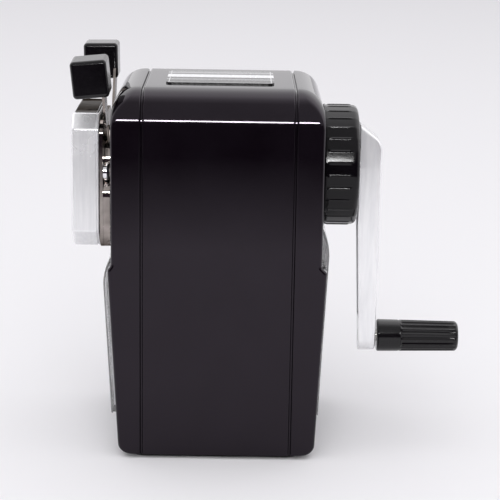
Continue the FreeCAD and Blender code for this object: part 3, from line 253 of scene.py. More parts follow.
FINISHES = {
    "black_enamel": make_enamel(),
    "dark_steel": make_steel("blued_steel", (0.05, 0.05, 0.055), (0.09, 0.085, 0.09), (0.28, 0.45)),
    "base_rubber": surface("rubber_sheet", (0.010, 0.010, 0.011), (0.022, 0.021, 0.022), (0.75, 0.92), 220,
                           fine=2600, relief=0.00003),
    "zinc_steel": make_steel("zinc_plated_steel", (0.52, 0.51, 0.49), (0.66, 0.65, 0.62), (0.18, 0.32)),
    "spring_steel": make_steel("spring_wire", (0.42, 0.42, 0.43), (0.58, 0.57, 0.56), (0.16, 0.28)),
    "hard_steel": make_steel("hardened_steel", (0.32, 0.32, 0.34), (0.46, 0.45, 0.46), (0.20, 0.36)),
    "badge_print": make_badge(),
    "clear_plastic": make_clear(),
    "dark_plastic": surface("dark_moulded_plastic", (0.012, 0.011, 0.012), (0.020, 0.019, 0.021), (0.3, 0.5),
                            140, fine=1700, relief=0.000008),
    "chrome": make_chrome(),
    "holder_brushed": make_satin("brushed_plate", (9, 9, 0.5), (0.16, 0.34)),
    # Two plates whose dark, slightly brown colour is painted shade and painted reflection of dark
    # surroundings.
    "shade_painted_plate": make_painted_shade_plating("shade_painted_plate", (0.13, 0.11, 0.10), (0.52, 0.47, 0.44), 70, 0.32, 0.68),
    "top_painted_reflection": make_painted_shade_plating("top_painted_reflection", (0.020, 0.018, 0.018), (0.30, 0.29, 0.29), 150, 0.45, 0.75),
    "crank_satin": make_satin("satin_arm_plate", (6, 6, 0.6), (0.14, 0.26)),
    "cast_alloy": make_steel("die_cast_alloy", (0.40, 0.40, 0.41), (0.52, 0.52, 0.53), (0.34, 0.52),
                             0.00002),
    "bronze_bush": make_steel("sintered_bronze", (0.30, 0.17, 0.07), (0.42, 0.25, 0.11), (0.38, 0.55),
                              0.00001),
    "gloss_black_plastic": make_gloss_black(),
    "collar_plastic": make_collar_black(),
    "grip_plastic": make_grip_black(),
}


# The clamp plates, rod bridge and levers take the plate with painted shade and painted reflection in its
# colour.
FINE_FINISHES = {"crank_arm": "crank_satin", "clamp_plate": "shade_painted_plate", "rod_bridge": "shade_painted_plate",
                 "lever_left": "shade_painted_plate", "lever_right": "shade_painted_plate",
                 "lever_retainer": "shade_painted_plate"}


def dress_cad():
    """Give every CAD node the finish of its record slot."""
    slots = {}
    for entry in frame["record"]["materials"]:
        for name in entry.get("nodes", []):
            slots[name] = entry["slot"]
    for name, item in NODES.items():
        slot = slots.get(name)
        if slot is None:
            old = item.data.materials[0].name if item.data.materials else ""
            slot = old.split(".")[0]
        item.data.materials.clear()
        item.data.materials.append(FINISHES[FINE_FINISHES.get(name, slot)])


# ---------------------------------------------------------------- room

def make_floor():
    """A plain pale sweep."""
    half = 6.0
    mesh = bpy.data.meshes.new("floor")
    corners = [(-half, -half, 0), (half, -half, 0), (half, half, 0), (-half, half, 0)]
    mesh.from_pydata(corners, [], [(0, 1, 2, 3)])
    floor = bpy.data.objects.new("floor", mesh)
    bpy.context.scene.collection.objects.link(floor)
    material, tree, shader = blank("pale_floor")
    shader.inputs["Base Color"].default_value = (0.90, 0.89, 0.91, 1)
    shader.inputs["Roughness"].default_value = 0.7
    shader.inputs["Specular IOR Level"].default_value = 0.0
    mesh.materials.append(material)


def make_world():
    """A plain studio dome, brightest behind the object and soft grey above and in front."""
    world = bpy.data.worlds.new("studio")
    bpy.context.scene.world = world
    world.use_nodes = True
    tree = world.node_tree
    tree.nodes.clear()
    coordinates = tree.nodes.new("ShaderNodeTexCoord")
    split = tree.nodes.new("ShaderNodeSeparateXYZ")
    angle = tree.nodes.new("ShaderNodeMath")
    angle.operation = "ARCTAN2"
    tree.links.new(coordinates.outputs["Generated"], split.inputs["Vector"])
    tree.links.new(split.outputs["Z"], angle.inputs[0])
    tree.links.new(split.outputs["X"], angle.inputs[1])
    ramp = tree.nodes.new("ShaderNodeValToRGB")
    stops = ((0, 0.60), (45, 0.60), (78, 0.62), (92, 1.1), (108, 2.0), (142, 1.7), (168, 1.0))
    while len(ramp.color_ramp.elements) < len(stops):
        ramp.color_ramp.elements.new(0.5)
    for element, (degrees, level) in zip(ramp.color_ramp.elements, stops):
        element.position = degrees / 180.0
        element.color = (level / 2, level * 0.99 / 2, level * 1.01 / 2, 1)
    tree.links.new(spread(tree, angle.outputs["Value"], 0.0, 1.0, 0.0, math.pi), ramp.inputs["Fac"])
    gloss = node(tree, "ShaderNodeBackground", Strength=2.0)
    tree.links.new(ramp.outputs["Color"], gloss.inputs["Color"])
    even = node(tree, "ShaderNodeBackground", Color=(0.985, 0.98, 1.0, 1), Strength=0.74)
    rays = tree.nodes.new("ShaderNodeLightPath")
    blend = tree.nodes.new("ShaderNodeMixShader")
    tree.links.new(rays.outputs["Is Glossy Ray"], blend.inputs[0])
    tree.links.new(even.outputs["Background"], blend.inputs[1])
    tree.links.new(gloss.outputs["Background"], blend.inputs[2])
    output = tree.nodes.new("ShaderNodeOutputWorld")
    tree.links.new(blend.outputs["Shader"], output.inputs["Surface"])


def soft_lamp(name, place, aim, size, radiance, glossy, diffuse):
    """A rectangular lamp facing a point, out of the camera's sight."""
    data = bpy.data.lights.new(name, "AREA")
    data.shape = "RECTANGLE"
    data.size, data.size_y = size
    data.energy = radiance * math.pi * size[0] * size[1]
    lamp = bpy.data.objects.new(name, data)
    ahead = (Vector(aim) - Vector(place)).normalized()
    lamp.rotation_euler = ahead.to_track_quat("-Z", "Y").to_euler()
    lamp.location = place
    lamp.visible_camera = False
    lamp.visible_glossy = glossy
    lamp.visible_diffuse = diffuse
    bpy.context.scene.collection.objects.link(lamp)


def make_lights():
    soft_lamp("overhead", (0.1, 0.0, 1.6), (0.05, 0.0, 0.0), (2.2, 2.2), 0.55, False, True)
    soft_lamp("fill", (1.2, 0.0, 0.7), (0.05, 0.0, 0.03), (1.0, 1.0), 2.0, False, True)
    soft_lamp("strip", (0.25, 0.0, 0.190), (0.0, 0.0, 0.11), (0.12, 0.012), 85.0, True, False)


def make_flag():
    """The dark cloth round the +X side of the studio: it shows only in the gloss, and fades out at its
    ends and near the floor."""
    reach, low, high = 0.27, 0.008, 0.187
    turns = arc(-88, 88, 44)
    points = [(reach * math.cos(turn), reach * math.sin(turn), level)
              for turn in turns for level in (low, high)]
    mesh = bpy.data.meshes.new("flag")
    mesh.from_pydata(points, [], grid_faces(len(turns), 2))
    flag = bpy.data.objects.new("flag", mesh)
    bpy.context.scene.collection.objects.link(flag)
    material = bpy.data.materials.new("flag_cloth")
    material.use_nodes = True
    tree = material.node_tree
    tree.nodes.clear()
    coordinates = tree.nodes.new("ShaderNodeTexCoord")
    split = tree.nodes.new("ShaderNodeSeparateXYZ")
    tree.links.new(coordinates.outputs["Object"], split.inputs["Vector"])
    across = tree.nodes.new("ShaderNodeMath")
    across.operation = "ABSOLUTE"
    tree.links.new(split.outputs["Y"], across.inputs[0])
    cover = tree.nodes.new("ShaderNodeMath")
    cover.operation = "MULTIPLY"
    tree.links.new(spread(tree, split.outputs["Z"], 0.0, 1.0, 0.010, 0.054), cover.inputs[0])
    tree.links.new(spread(tree, across.outputs["Value"], 1.0, 0.0, 0.235, 0.268), cover.inputs[1])
    clear = tree.nodes.new("ShaderNodeBsdfTransparent")
    cloth = node(tree, "ShaderNodeEmission", Color=(0.030, 0.018, 0.030, 1), Strength=1.0)
    blend = tree.nodes.new("ShaderNodeMixShader")
    tree.links.new(cover.outputs["Value"], blend.inputs[0])
    tree.links.new(clear.outputs["BSDF"], blend.inputs[1])
    tree.links.new(cloth.outputs["Emission"], blend.inputs[2])
    output = tree.nodes.new("ShaderNodeOutputMaterial")
    tree.links.new(blend.outputs["Shader"], output.inputs["Surface"])
    mesh.materials.append(material)
    flag.visible_camera = False
    flag.visible_diffuse = False
    flag.visible_shadow = False
    flag.visible_transmission = False


def make_camera():
    """The main view: a long lens at +X, a little above, with a trace of roll."""
    distance = 0.54515
    pitch, yaw, roll = math.radians(14.4), math.radians(-0.44), math.radians(0.94)
    target = Vector((0, 0.01056, 0.06287))
    ahead = Vector((-math.cos(pitch) * math.cos(yaw), -math.cos(pitch) * math.sin(yaw), -math.sin(pitch)))
    level = Vector((-math.sin(yaw), math.cos(yaw), 0))
    upward = level.cross(ahead)
    right = level * math.cos(roll) + upward * math.sin(roll)
    top = upward * math.cos(roll) - level * math.sin(roll)
    data = bpy.data.cameras.new("camera")
    data.sensor_width = 36.0
    data.lens = 116.1936
    data.clip_start = 0.01
    data.clip_end = 50
    camera = bpy.data.objects.new("camera", data)
    bpy.context.scene.collection.objects.link(camera)
    turn = Matrix((right, top, -ahead)).transposed().to_4x4()
    camera.matrix_world = Matrix.Translation(target - ahead * distance) @ turn
    bpy.context.scene.camera = camera


# ---------------------------------------------------------------- mesh making

def arc(start, stop, steps):
    """Evenly spaced angles, in radians, with both ends."""
    return [math.radians(start + (stop - start) * index / steps) for index in range(steps + 1)]


def ramp_between(value, low, high):
    return min(1.0, max(0.0, (value - low) / (high - low)))


def grid_faces(rows, columns, closed=False):
    """Quads over a grid of points stored row by row; closed joins the last row to the first."""
    faces = []
    for row in range(rows if closed else rows - 1):
        for column in range(columns - 1):
            first, second = row * columns + column, (row + 1) % rows * columns + column
            faces.append((first, second, second + 1, first + 1))
    return faces


def tube_faces(rows, around, closed=False):
    """Quads over rows of points that each close on themselves; closed joins the last row to the first."""
    faces = []
    for row in range(rows if closed else rows - 1):
        first, second = row * around, (row + 1) % rows * around
        for spot in range(around):
            after = (spot + 1) % around
            faces.append((first + spot, first + after, second + after, second + spot))
    return faces


def mesh_object(name, points, faces, finish, outward=None):
    """A smooth-shaded object from points in millimetres; `outward` is a point and a direction that fix
    its normals."""
    work = bmesh.new()
    corners = [work.verts.new(Vector(point) * MM) for point in points]
    for face in faces:
        if len(set(face)) > 2:
            work.faces.new([corners[index] for index in face])
    bmesh.ops.remove_doubles(work, verts=work.verts, dist=0.01 * MM)
    bmesh.ops.dissolve_degenerate(work, edges=work.edges, dist=0.005 * MM)
    bmesh.ops.recalc_face_normals(work, faces=work.faces)
    if outward:
        place, ahead = Vector(outward[0]) * MM, Vector(outward[1])
        nearest = min(work.faces, key=lambda face: (face.calc_center_median() - place).length)
        if nearest.normal.dot(ahead) < 0:
            bmesh.ops.reverse_faces(work, faces=work.faces)
    loose = [vert for vert in work.verts if not vert.link_faces]
    bmesh.ops.delete(work, geom=loose, context="VERTS")
    for face in work.faces:
        face.smooth = True
    mesh = bpy.data.meshes.new(name)
    work.to_mesh(mesh)
    work.free()
    mesh.materials.append(finish)
    item = bpy.data.objects.new(name, mesh)
    bpy.context.scene.collection.objects.link(item)
    return item


def thicken(item, depth):
    """Give a sheet its thickness, on the inside."""
    solid = item.modifiers.new("wall", "SOLIDIFY")
    solid.thickness = depth * MM
    solid.offset = -1.0
    return item


def even_normals(item, sharp=38):
    """Keep flats flat beside their rounded edges; edges sharper than an angle stay crisp."""
    if item.modifiers:
        graph = bpy.context.evaluated_depsgraph_get()
        settled = bpy.data.meshes.new_from_object(item.evaluated_get(graph))
        item.modifiers.clear()
        item.data = settled
        settled.name = item.name
    item.data.set_sharp_from_angle(angle=math.radians(sharp))
    weighted = item.modifiers.new("normals", "WEIGHTED_NORMAL")
    weighted.keep_sharp = True
    return item


def stand_in(item, owner, slot, *cad_nodes):
    """The piece rides on a body and stands for its CAD nodes, which it hides; the slot is not used."""
    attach(item, owner)
    if cad_nodes:
        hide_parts(*cad_nodes)
    return item


def mm_box(name):
    """A CAD node's lowest and highest corners, in millimetres."""
    low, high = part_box(name)
    return [value / MM for value in low], [value / MM for value in high]


def mid_height(name):
    """The height of a CAD node's middle, in millimetres."""
    low, high = mm_box(name)
    return (low[2] + high[2]) / 2


# ---------------------------------------------------------------- casing

AXIS_HEIGHT = mid_height("rear_bush")
HALF_WIDTH = mm_box("body_wrap")[1][0]
SHOULDER = 12.0
SIDE_LEVELS = (1.5, 1.7, 2.1, 2.7, 3.4, 4.2, 5.0, 6.5, 9.0, 13.0, 19.0, 26.0, 33.0, 40.0, 47.0, 54.0, 58.0,
               61.0, 61.45, 61.5, 62.4, 63.0, 63.4, 63.9, 64.4, 64.9, 65.4, 66.0, 67.0, 68.5, 70.0, 73.0,
               77.0, 82.0, 88.0, 94.0, 100.0, 105.0)
CASING_SIDE = ((HALF_WIDTH, 0, 60), (1, 0, 0))


def arch_rows():
    """Points round the casing's cross-section with their outward directions: up the right side, over the
    top and down the left."""
    low, high = mm_box("body_wrap")
    side, top = high[0], high[2]
    flat, spring = side - SHOULDER, top - SHOULDER
    right = [(side, level, 1.0, 0.0) for level in SIDE_LEVELS]
    right += [(flat + SHOULDER * math.cos(turn), spring + SHOULDER * math.sin(turn), math.cos(turn),
               math.sin(turn)) for turn in arc(0, 90, 14)]
    right += [(flat * share, top, 0.0, 1.0) for share in (0.75, 0.5, 0.25)]
    left = [(-x, z, -nx, nz) for x, z, nx, nz in reversed(right)]
    return right + [(0.0, top, 0.0, 1.0)] + left


def sheet_points(rows, section):
    """Every row's point moved inward by each (along, inset) of its section, which may follow the height
    and how far the outline faces up."""
    points = []
    for x, z, nx, nz in rows:
        points += [(x - nx * inset, along, z - nz * inset) for along, inset in section(z, nz)]
    return points


WRAP_EDGE = 24.0
WRAP_ROUND = 0.75
WRAP_WALL = 1.0


def wrap_section(z=0.0, lift=0.0):
    """Across the wrap: a rounded edge at each seam."""
    edge = [(WRAP_EDGE - WRAP_ROUND * (1 - math.cos(turn)), WRAP_ROUND * (1 - math.sin(turn)))
            for turn in arc(0, 90, 5)]
    return [(-along, inset) for along, inset in edge] + list(reversed(edge))


def make_wrap():
    """The folded sheet that makes both sides, the shoulders and the top."""
    rows = arch_rows()
    points = sheet_points(rows, wrap_section)
    wrap = mesh_object("casing_wrap", points, grid_faces(len(rows), len(wrap_section())),
                       FINISHES["black_enamel"], CASING_SIDE)
    even_normals(thicken(wrap, WRAP_WALL))
    stand_in(wrap, "casing", "black_enamel", "body_wrap")


BAY_HALF = 24.4
BAY_HALF_INSET = HALF_WIDTH - BAY_HALF
BAY_TOP = 61.5
FACE_WALL, SHELL_WALL = 1.8, 1.6
SEAM_GROOVE = ((23.6, 0.9), (24.45, 0.9), (24.52, 0.75), (24.56, 0.5), (24.66, 0.28), (24.82, 0.11),
               (25.03, 0.02), (25.25, 0.0))
ENDS = {
    "front": {"face": 34.0, "out": 1.1, "taper": 2.0, "sign": -1},
    "rear": {"face": 33.4, "out": 1.7, "taper": 0.9, "sign": 1},
}
CHEEK_EDGE, CHEEK_TOP, TOE_ROUND = 63.2, 65.4, 3.5


def shell_reach(end, z):
    """How far the shell's outer face stands from the middle at a height."""
    face, toe, out = end["face"], end["face"] - end["taper"], end["face"] + end["out"]
    level = SIDE_LEVELS[0] + TOE_ROUND
    reach = toe + (out - toe) * ramp_between(z, level, CHEEK_EDGE)
    share = ramp_between(z, CHEEK_EDGE, CHEEK_TOP)
    reach += (face - reach) * (3 * share ** 2 - 2 * share ** 3)
    if z < level:
        drop = (level - z) / TOE_ROUND
        reach -= TOE_ROUND * (1 - math.sqrt(max(0.0, 1 - drop ** 2)))
    return reach


SIDE_EDGE, TOP_EDGE, CHEEK_BEVEL = 1.3, 8.05, 0.3


def shell_section(end, z, lift=0.0):
    """Across an end shell at one height: seam groove, straight, rounded edge, then the cheek's inner edge.
    The edge is tight on the sides and opens out over the shoulders."""
    reach = shell_reach(end, z)
    plane = min(reach, end["face"])
    bevel = min(CHEEK_BEVEL, reach - plane)
    share = ramp_between(math.asin(max(0.0, min(1.0, lift))) / (math.pi / 2), -0.05, 0.95)
    edge = SIDE_EDGE + (TOP_EDGE - SIDE_EDGE) * (3 * share ** 2 - 2 * share ** 3)
    stop = max(BAY_HALF_INSET, edge)
    section = list(SEAM_GROOVE)
    section += [(reach - edge * (1 - math.sin(turn)), edge * (1 - math.cos(turn)))
                for turn in arc(0, 90, 14)]
    section += [(reach, max(edge, stop - bevel)), (reach - 0.3 * bevel, stop - 0.3 * bevel),
                (reach - bevel, stop)]
    inner = plane - FACE_WALL if end["sign"] < 0 and z < BAY_TOP else plane
    section.append((inner, stop))
    return [(end["sign"] * along, inset) for along, inset in section]


def circle_points(x, y, z, radius, count=40):
    """A circle in a plane across Y."""
    return [(x + radius * math.cos(turn), y, z + radius * math.sin(turn))
            for turn in (2 * math.pi * index / count for index in range(count))]


def fill_face(points, faces, loops):
    """Fill the flat region between an outer loop and its holes with triangles."""
    flat = [[Vector((x, z, 0)) for x, y, z in loop] for loop in loops]
    start = len(points)
    for loop in loops:
        points += loop
    faces += [tuple(start + index for index in face) for face in tessellate_polygon(flat)]


NECK_RADIUS, GUIDE_RADIUS, ROD_HOLE = 15.9, 6.0, 2.05
ROD_ACROSS, ROD_HEIGHT = 14.5, 73.5


def shell_holes(end):
    """The holes through a shell's flat face, as (x, z, radius)."""
    if end["sign"] > 0:
        return [(0.0, AXIS_HEIGHT, NECK_RADIUS)]
    rods = [(x, ROD_HEIGHT, ROD_HOLE) for x in (ROD_ACROSS, -ROD_ACROSS)]
    return [(0.0, AXIS_HEIGHT, GUIDE_RADIUS)] + rods


def make_shell(name, node_name):
    """A pressed end shell, with the bay or window opening low in its face."""
    end = ENDS[name]
    rows = arch_rows()
    points = sheet_points(rows, lambda z, lift: shell_section(end, z, lift))
    width = len(shell_section(end, 0))
    faces = grid_faces(len(rows), width)
    last = [points[index * width + width - 1] for index in range(len(rows))]
    if end["sign"] > 0:
        window_frame(points, faces, last)
    floor = BAY_TOP if end["sign"] < 0 else WINDOW_TOP
    loop = [point for point in last if point[2] >= floor - 0.001]
    if end["sign"] > 0:
        loop = [(BAY_HALF, loop[0][1], floor)] + loop + [(-BAY_HALF, loop[0][1], floor)]
    holes = [circle_points(x, loop[0][1], z, radius) for x, z, radius in shell_holes(end)]
    fill_face(points, faces, [loop] + holes)
    shell = mesh_object(name + "_end_shell", points, faces, FINISHES["black_enamel"], CASING_SIDE)
    even_normals(thicken(shell, SHELL_WALL))
    stand_in(shell, "casing", "black_enamel", node_name)


WINDOW_TOP = 67.0
WINDOW_LOW = 13.0
WINDOW_HALF = 21.4


def window_frame(points, faces, last):
    """Close the rear shell between its cheeks, round the window opening."""
    right = [point for point in last[:len(last) // 2] if point[2] <= WINDOW_TOP]
    sill = [point for point in right if point[2] <= WINDOW_LOW]
    beside = right[len(sill) - 1:]
    for run, columns in ((sill, (BAY_HALF, -BAY_HALF)), (beside, (BAY_HALF, WINDOW_HALF)),
                         (beside, (-WINDOW_HALF, -BAY_HALF))):
        start = len(points)
        points += [(x, y, z) for _, y, z in run for x in columns]
        faces += [tuple(start + index for index in face) for face in grid_faces(len(run), 2)]


# ---------------------------------------------------------------- turned pieces

def turned_piece(name, profile, count, height, finish, outward, shape=None):
    """A closed (along, radius) profile turned about an axis parallel to Y; shape may change each radius."""
    points = []
    for index in range(count):
        turn = 2 * math.pi * index / count
        for along, radius in profile:
            reach = shape(turn, along, radius) if shape else radius
            points.append((reach * math.cos(turn), along, height + reach * math.sin(turn)))
    return mesh_object(name, points, tube_faces(count, len(profile), closed=True), finish, outward)


def rounded(along, radius, size, start, stop, steps=5):
    """Profile points of a quarter round about a centre."""
    return [(along + size * math.cos(turn), radius + size * math.sin(turn))
            for turn in arc(start, stop, steps)]


COLLAR_FLATS = 30
COLLAR_BORE, LUG_RADIUS, LUG_TURN = 17.5, 16.2, 35.0
RIB_HALF, RIB_HEIGHT = 0.34, 0.24


def collar_reach(turn, along, radius, low, high):
    """Flats with a thin rib between them; the ribs stop short of both edges."""
    if radius < COLLAR_BORE + 0.4:
        lug = math.degrees(turn) % 120.0 < LUG_TURN and low + 0.15 < along < low + 1.6
        return LUG_RADIUS if lug and radius > COLLAR_BORE - 0.5 else radius
    pitch = 2 * math.pi / COLLAR_FLATS
    offset = (turn + pitch / 2) % pitch - pitch / 2
    flat = radius * (0.35 + 0.65 * math.cos(pitch / 2) / math.cos(abs(offset) - pitch / 2))
    rib = max(0.0, 1 - (abs(offset) * radius / RIB_HALF) ** 2)
    fade = min(ramp_between(along, low + 1.1, low + 1.7), ramp_between(high - along, 2.2, 2.9))
    return flat + RIB_HEIGHT * rib * fade


def make_collar():
    """The lock collar: a lipped front, ribbed flats, a rounded back and a dished end face."""
    low, high = mm_box("lock_collar")
    front, back = low[1], high[1]
    radius = (high[2] - low[2]) / 2
    height = mid_height("lock_collar")
    profile = [(front, COLLAR_BORE + 0.1), (front, radius - 0.5)]
    profile += [(front + 0.1, radius - 0.15), (front + 0.3, radius), (front + 0.75, radius),
                (front + 0.9, radius - 0.25), (front + 1.1, radius - 0.25)]
    steps = 12
    profile += [(front + 1.3 + (back - front - 3.5) * index / steps, radius - 0.22)
                for index in range(steps + 1)]
    profile += rounded(back - 2.1, radius - 2.3, 2.1, 90, 0, 9)[1:]
    profile += [(back, 17.95), (back - 0.15, 17.8), (back - 0.5, 17.3), (back - 0.7, 16.5),
                (back - 0.7, 9.6), (back - 0.5, 9.2), (back - 0.1, 9.0), (back - 0.1, 8.7),
                (back - 0.4, 8.6), (back - 2.8, 8.6), (back - 2.8, COLLAR_BORE),
                (front + 1.6, COLLAR_BORE), (front + 1.5, COLLAR_BORE - 0.05),
                (front + 0.2, COLLAR_BORE - 0.05), (front + 0.1, COLLAR_BORE)]
    collar = turned_piece("lock_collar_ring", profile, COLLAR_FLATS * 12, height,
                          FINISHES["collar_plastic"], ((radius, front + 5, height), (1, 0, 0)),
                          lambda turn, along, reach: collar_reach(turn, along, reach, front, back))
    even_normals(collar, 50)
    stand_in(collar, "lock_ring", "collar_plastic", "lock_collar")


FLUTES = 18
FLUTE_DEPTH, GRIP_TAPER, GRIP_RADIUS = 0.42, 0.4, 5.5


def grip_reach(turn, along, radius, low, high):
    """The grip narrows towards its end, and fine flutes start behind a smooth collar."""
    if radius < GRIP_RADIUS - 0.9:
        return radius
    taper = GRIP_TAPER * ramp_between(along, low, high)
    fade = min(ramp_between(along, low + 8.0, low + 8.6), ramp_between(high - along, 0.9, 1.5))
    wave = 0.5 - 0.5 * math.cos(turn * FLUTES)
    return radius - taper - FLUTE_DEPTH * fade * wave ** 0.7


def make_grip():
    """The turned grip: a smooth collar with a bead, fine flutes and a rounded end."""
    low, high = mm_box("grip")
    front, back = low[1], high[1]
    radius, height = GRIP_RADIUS, mid_height("grip")
    profile = [(front, 2.1), (front, radius - 0.7)]
    profile += rounded(front + 0.7, radius - 0.7, 0.7, 180, 90, 5)[1:]
    profile += [(front + 7.2, radius), (front + 7.5, radius - 0.12), (front + 7.9, radius - 0.12),
                (front + 8.0, radius)]
    profile += [(front + 8.0 + 0.3 * index, radius) for index in range(1, 4)]
    steps = 8
    start = front + 9.2
    profile += [(start + (back - 1.6 - start) * index / steps, radius)
                for index in range(steps + 1)]
    profile += rounded(back - 1.2, radius - 1.2, 1.2, 90, 0, 6)[1:]
    profile += [(back, 4.0), (back - 0.15, 3.8), (back - 2.4, 3.8), (back - 2.4, 3.7), (back - 6.0, 3.7),
                (back - 6.0, 2.1)]
    grip = turned_piece("turned_grip", profile, FLUTES * 14, height, FINISHES["grip_plastic"],
                        ((radius, front + 4, height), (1, 0, 0)),
                        lambda turn, along, reach: grip_reach(turn, along, reach, front, back))
    even_normals(grip, 55)
    stand_in(grip, "hand_grip", "grip_plastic", "grip")


# ---------------------------------------------------------------- holder

UPPER_BEVEL, LOWER_BEVEL, HOLDER_EASE, HOLDER_ROUND = 4.6, 5.9, 1.25, 1.15
COVER_WALL, COVER_HOLE = 0.9, 9.02
CROWN = 0.25


def holder_rows(low, high):
    """Points round the holder's cross-section with outward directions: a bevelled rectangle whose corners
    are eased and whose top is slightly crowned."""
    half, ease, upper, lower = high[0], HOLDER_EASE, UPPER_BEVEL, LOWER_BEVEL
    corners = [(half, low[2] + lower, -45, 0), (half, high[2] - upper, 0, 45),
               (half - upper, high[2], 45, 88), (-half + upper, high[2], 92, 135),
               (-half, high[2] - upper, 135, 180),
               (-half, low[2] + lower, 180, 225), (-half + lower, low[2], 225, 270),
               (half - lower, low[2], 270, 315)]
    rows = []
    for x, z, start, stop in corners:
        middle = math.radians((start + stop) / 2)
        back = ease / math.cos(math.radians((stop - start) / 2))
        for turn in arc(start, stop, 4):
            rows.append((x - back * math.cos(middle) + ease * math.cos(turn),
                         z - back * math.sin(middle) + ease * math.sin(turn),
                         math.cos(turn), math.sin(turn)))
        if start == 45:
            reach = half - upper - 0.6
            for share in (0.8, 0.6, 0.4, 0.2, 0.0, -0.2, -0.4, -0.6, -0.8):
                lean = math.radians(2.0 * share)
                rows.append((reach * share, high[2] - CROWN * share ** 2 - 0.02,
                             math.sin(lean), math.cos(lean)))
    return rows


def make_holder_cover():
    """The plated cover: bevelled corners, a rolled front edge, a turned lip at the back, a pencil hole and
    a top painted dark, a painted reflection of the dark surroundings."""
    low, high = mm_box("holder_cover")
    front, back = low[1], high[1]
    rows = holder_rows(low, high)
    section = [(back, 0.9), (back, 0.35), (back - 0.1, 0.1), (back - 0.3, 0.0), (back - 0.55, 0.0),
               (back - 0.7, 0.28), (back - 0.95, 0.3), (back - 1.05, 0.0), (back - 1.3, 0.0)]
    section += [(front + HOLDER_ROUND - HOLDER_ROUND * math.sin(turn), HOLDER_ROUND * (1 - math.cos(turn)))
                for turn in arc(0, 90, 8)]
    points = sheet_points(rows, lambda z, lift: section)
    width = len(section)
    faces = grid_faces(len(rows), width, closed=True)
    loop = [points[index * width + width - 1] for index in range(len(rows))]
    mouth = circle_points(0.0, front, mid_height("pencil_bezel"), COVER_HOLE, 64)
    fill_face(points, faces, [loop, mouth])
    cover = mesh_object("holder_cover_pressing", points, faces, FINISHES["holder_brushed"],
                        ((high[0], -43, 90), (1, 0, 0)))
    even_normals(thicken(cover, COVER_WALL), 60)
    # The upward faces take the dark plate: the top is painted dark as a painted reflection of dark
    # surroundings.
    cover.data.materials.append(FINISHES["top_painted_reflection"])
    for face in cover.data.polygons:
        if face.normal.z > 0.95:
            face.material_index = 1
    stand_in(cover, "pencil_holder", "chrome", "holder_cover")


# ---------------------------------------------------------------- clear mouldings

PANEL_HALF, PANEL_WALL, PANEL_LOW, BROW_DROP, BROW_STEP = 24.0, 1.2, 12.8, 0.6, 0.4
PANEL_GAP = 0.05
TRAY_HALF, TRAY_FRONT, TRAY_LOW, TRAY_TOP = 23.8, 31.6, 3.6, 58.0
TRAY_WALL, TRAY_CORNER = 1.5, 2.4


def panel_profile(face, foot, belly, out, top, sign):
    """The outer line of a bowed panel, from its foot up over the brow, as (along, height)."""
    low = PANEL_LOW
    line = [(face + PANEL_GAP, low), (face + foot, low)]
    line += [(face + foot + (out - foot) * share, low + (belly - low) * share)
             for share in (0.15, 0.3, 0.5, 0.7, 0.85, 0.97)]
    rise, brow = top - BROW_DROP - belly, out - BROW_STEP
    bow = (rise ** 2 + brow ** 2) / (2 * brow)
    stop = math.degrees(math.asin(rise / bow))
    line += [(face + out - bow * (1 - math.cos(turn)), belly + bow * math.sin(turn))
             for turn in arc(0, stop, 10)]
    line += [(face + 0.3, top - 0.1), (face + PANEL_GAP, top)]
    return [(sign * along, height) for along, height in line]


def bowed_sheet(profile, face, notch=None):
    """A bowed panel's outer sheet with its side walls; a notch (radius, height) clears the collar."""
    points, rows = [], len(profile)
    spots = (-0.94, -0.85, -0.75, -0.65, -0.55, -0.5, -0.45, -0.4, -0.3, -0.2, -0.1, 0.0)
    spots = spots + tuple(-spot for spot in reversed(spots[:-1]))
    for along, height in profile:
        sign = 1 if along > 0 else -1
        proud = abs(along) - face - PANEL_GAP
        ease = max(0.02, min(0.9, proud))
        right = [(PANEL_HALF, proud)]
        right += [(PANEL_HALF - ease * (1 - math.cos(turn)), ease * (1 - math.sin(turn)))
                  for turn in arc(0, 90, 4)]
        row = [(-x, drop) for x, drop in right] + [(PANEL_HALF * spot, 0.0) for spot in spots]
        row += list(reversed(right))
        for x, drop in row:
            level = height
            if notch and abs(x) < notch[0]:
                level = min(height, notch[1] - math.sqrt(notch[0] ** 2 - x ** 2))
            points.append((x, along - sign * drop, level))
    return points, grid_faces(rows, len(points) // rows)


def rounded_loop(half, low, high, radius, level, inset=0.0):
    """A rounded rectangle in a level plane."""
    loop = []
    for x, y, start in ((half - radius, high - radius, 0), (-half + radius, high - radius, 90),
                        (-half + radius, low + radius, 180), (half - radius, low + radius, 270)):
        loop += [(x + (radius - inset) * math.cos(turn), y + (radius - inset) * math.sin(turn), level)
                 for turn in arc(start, start + 90, 5)]
    return loop


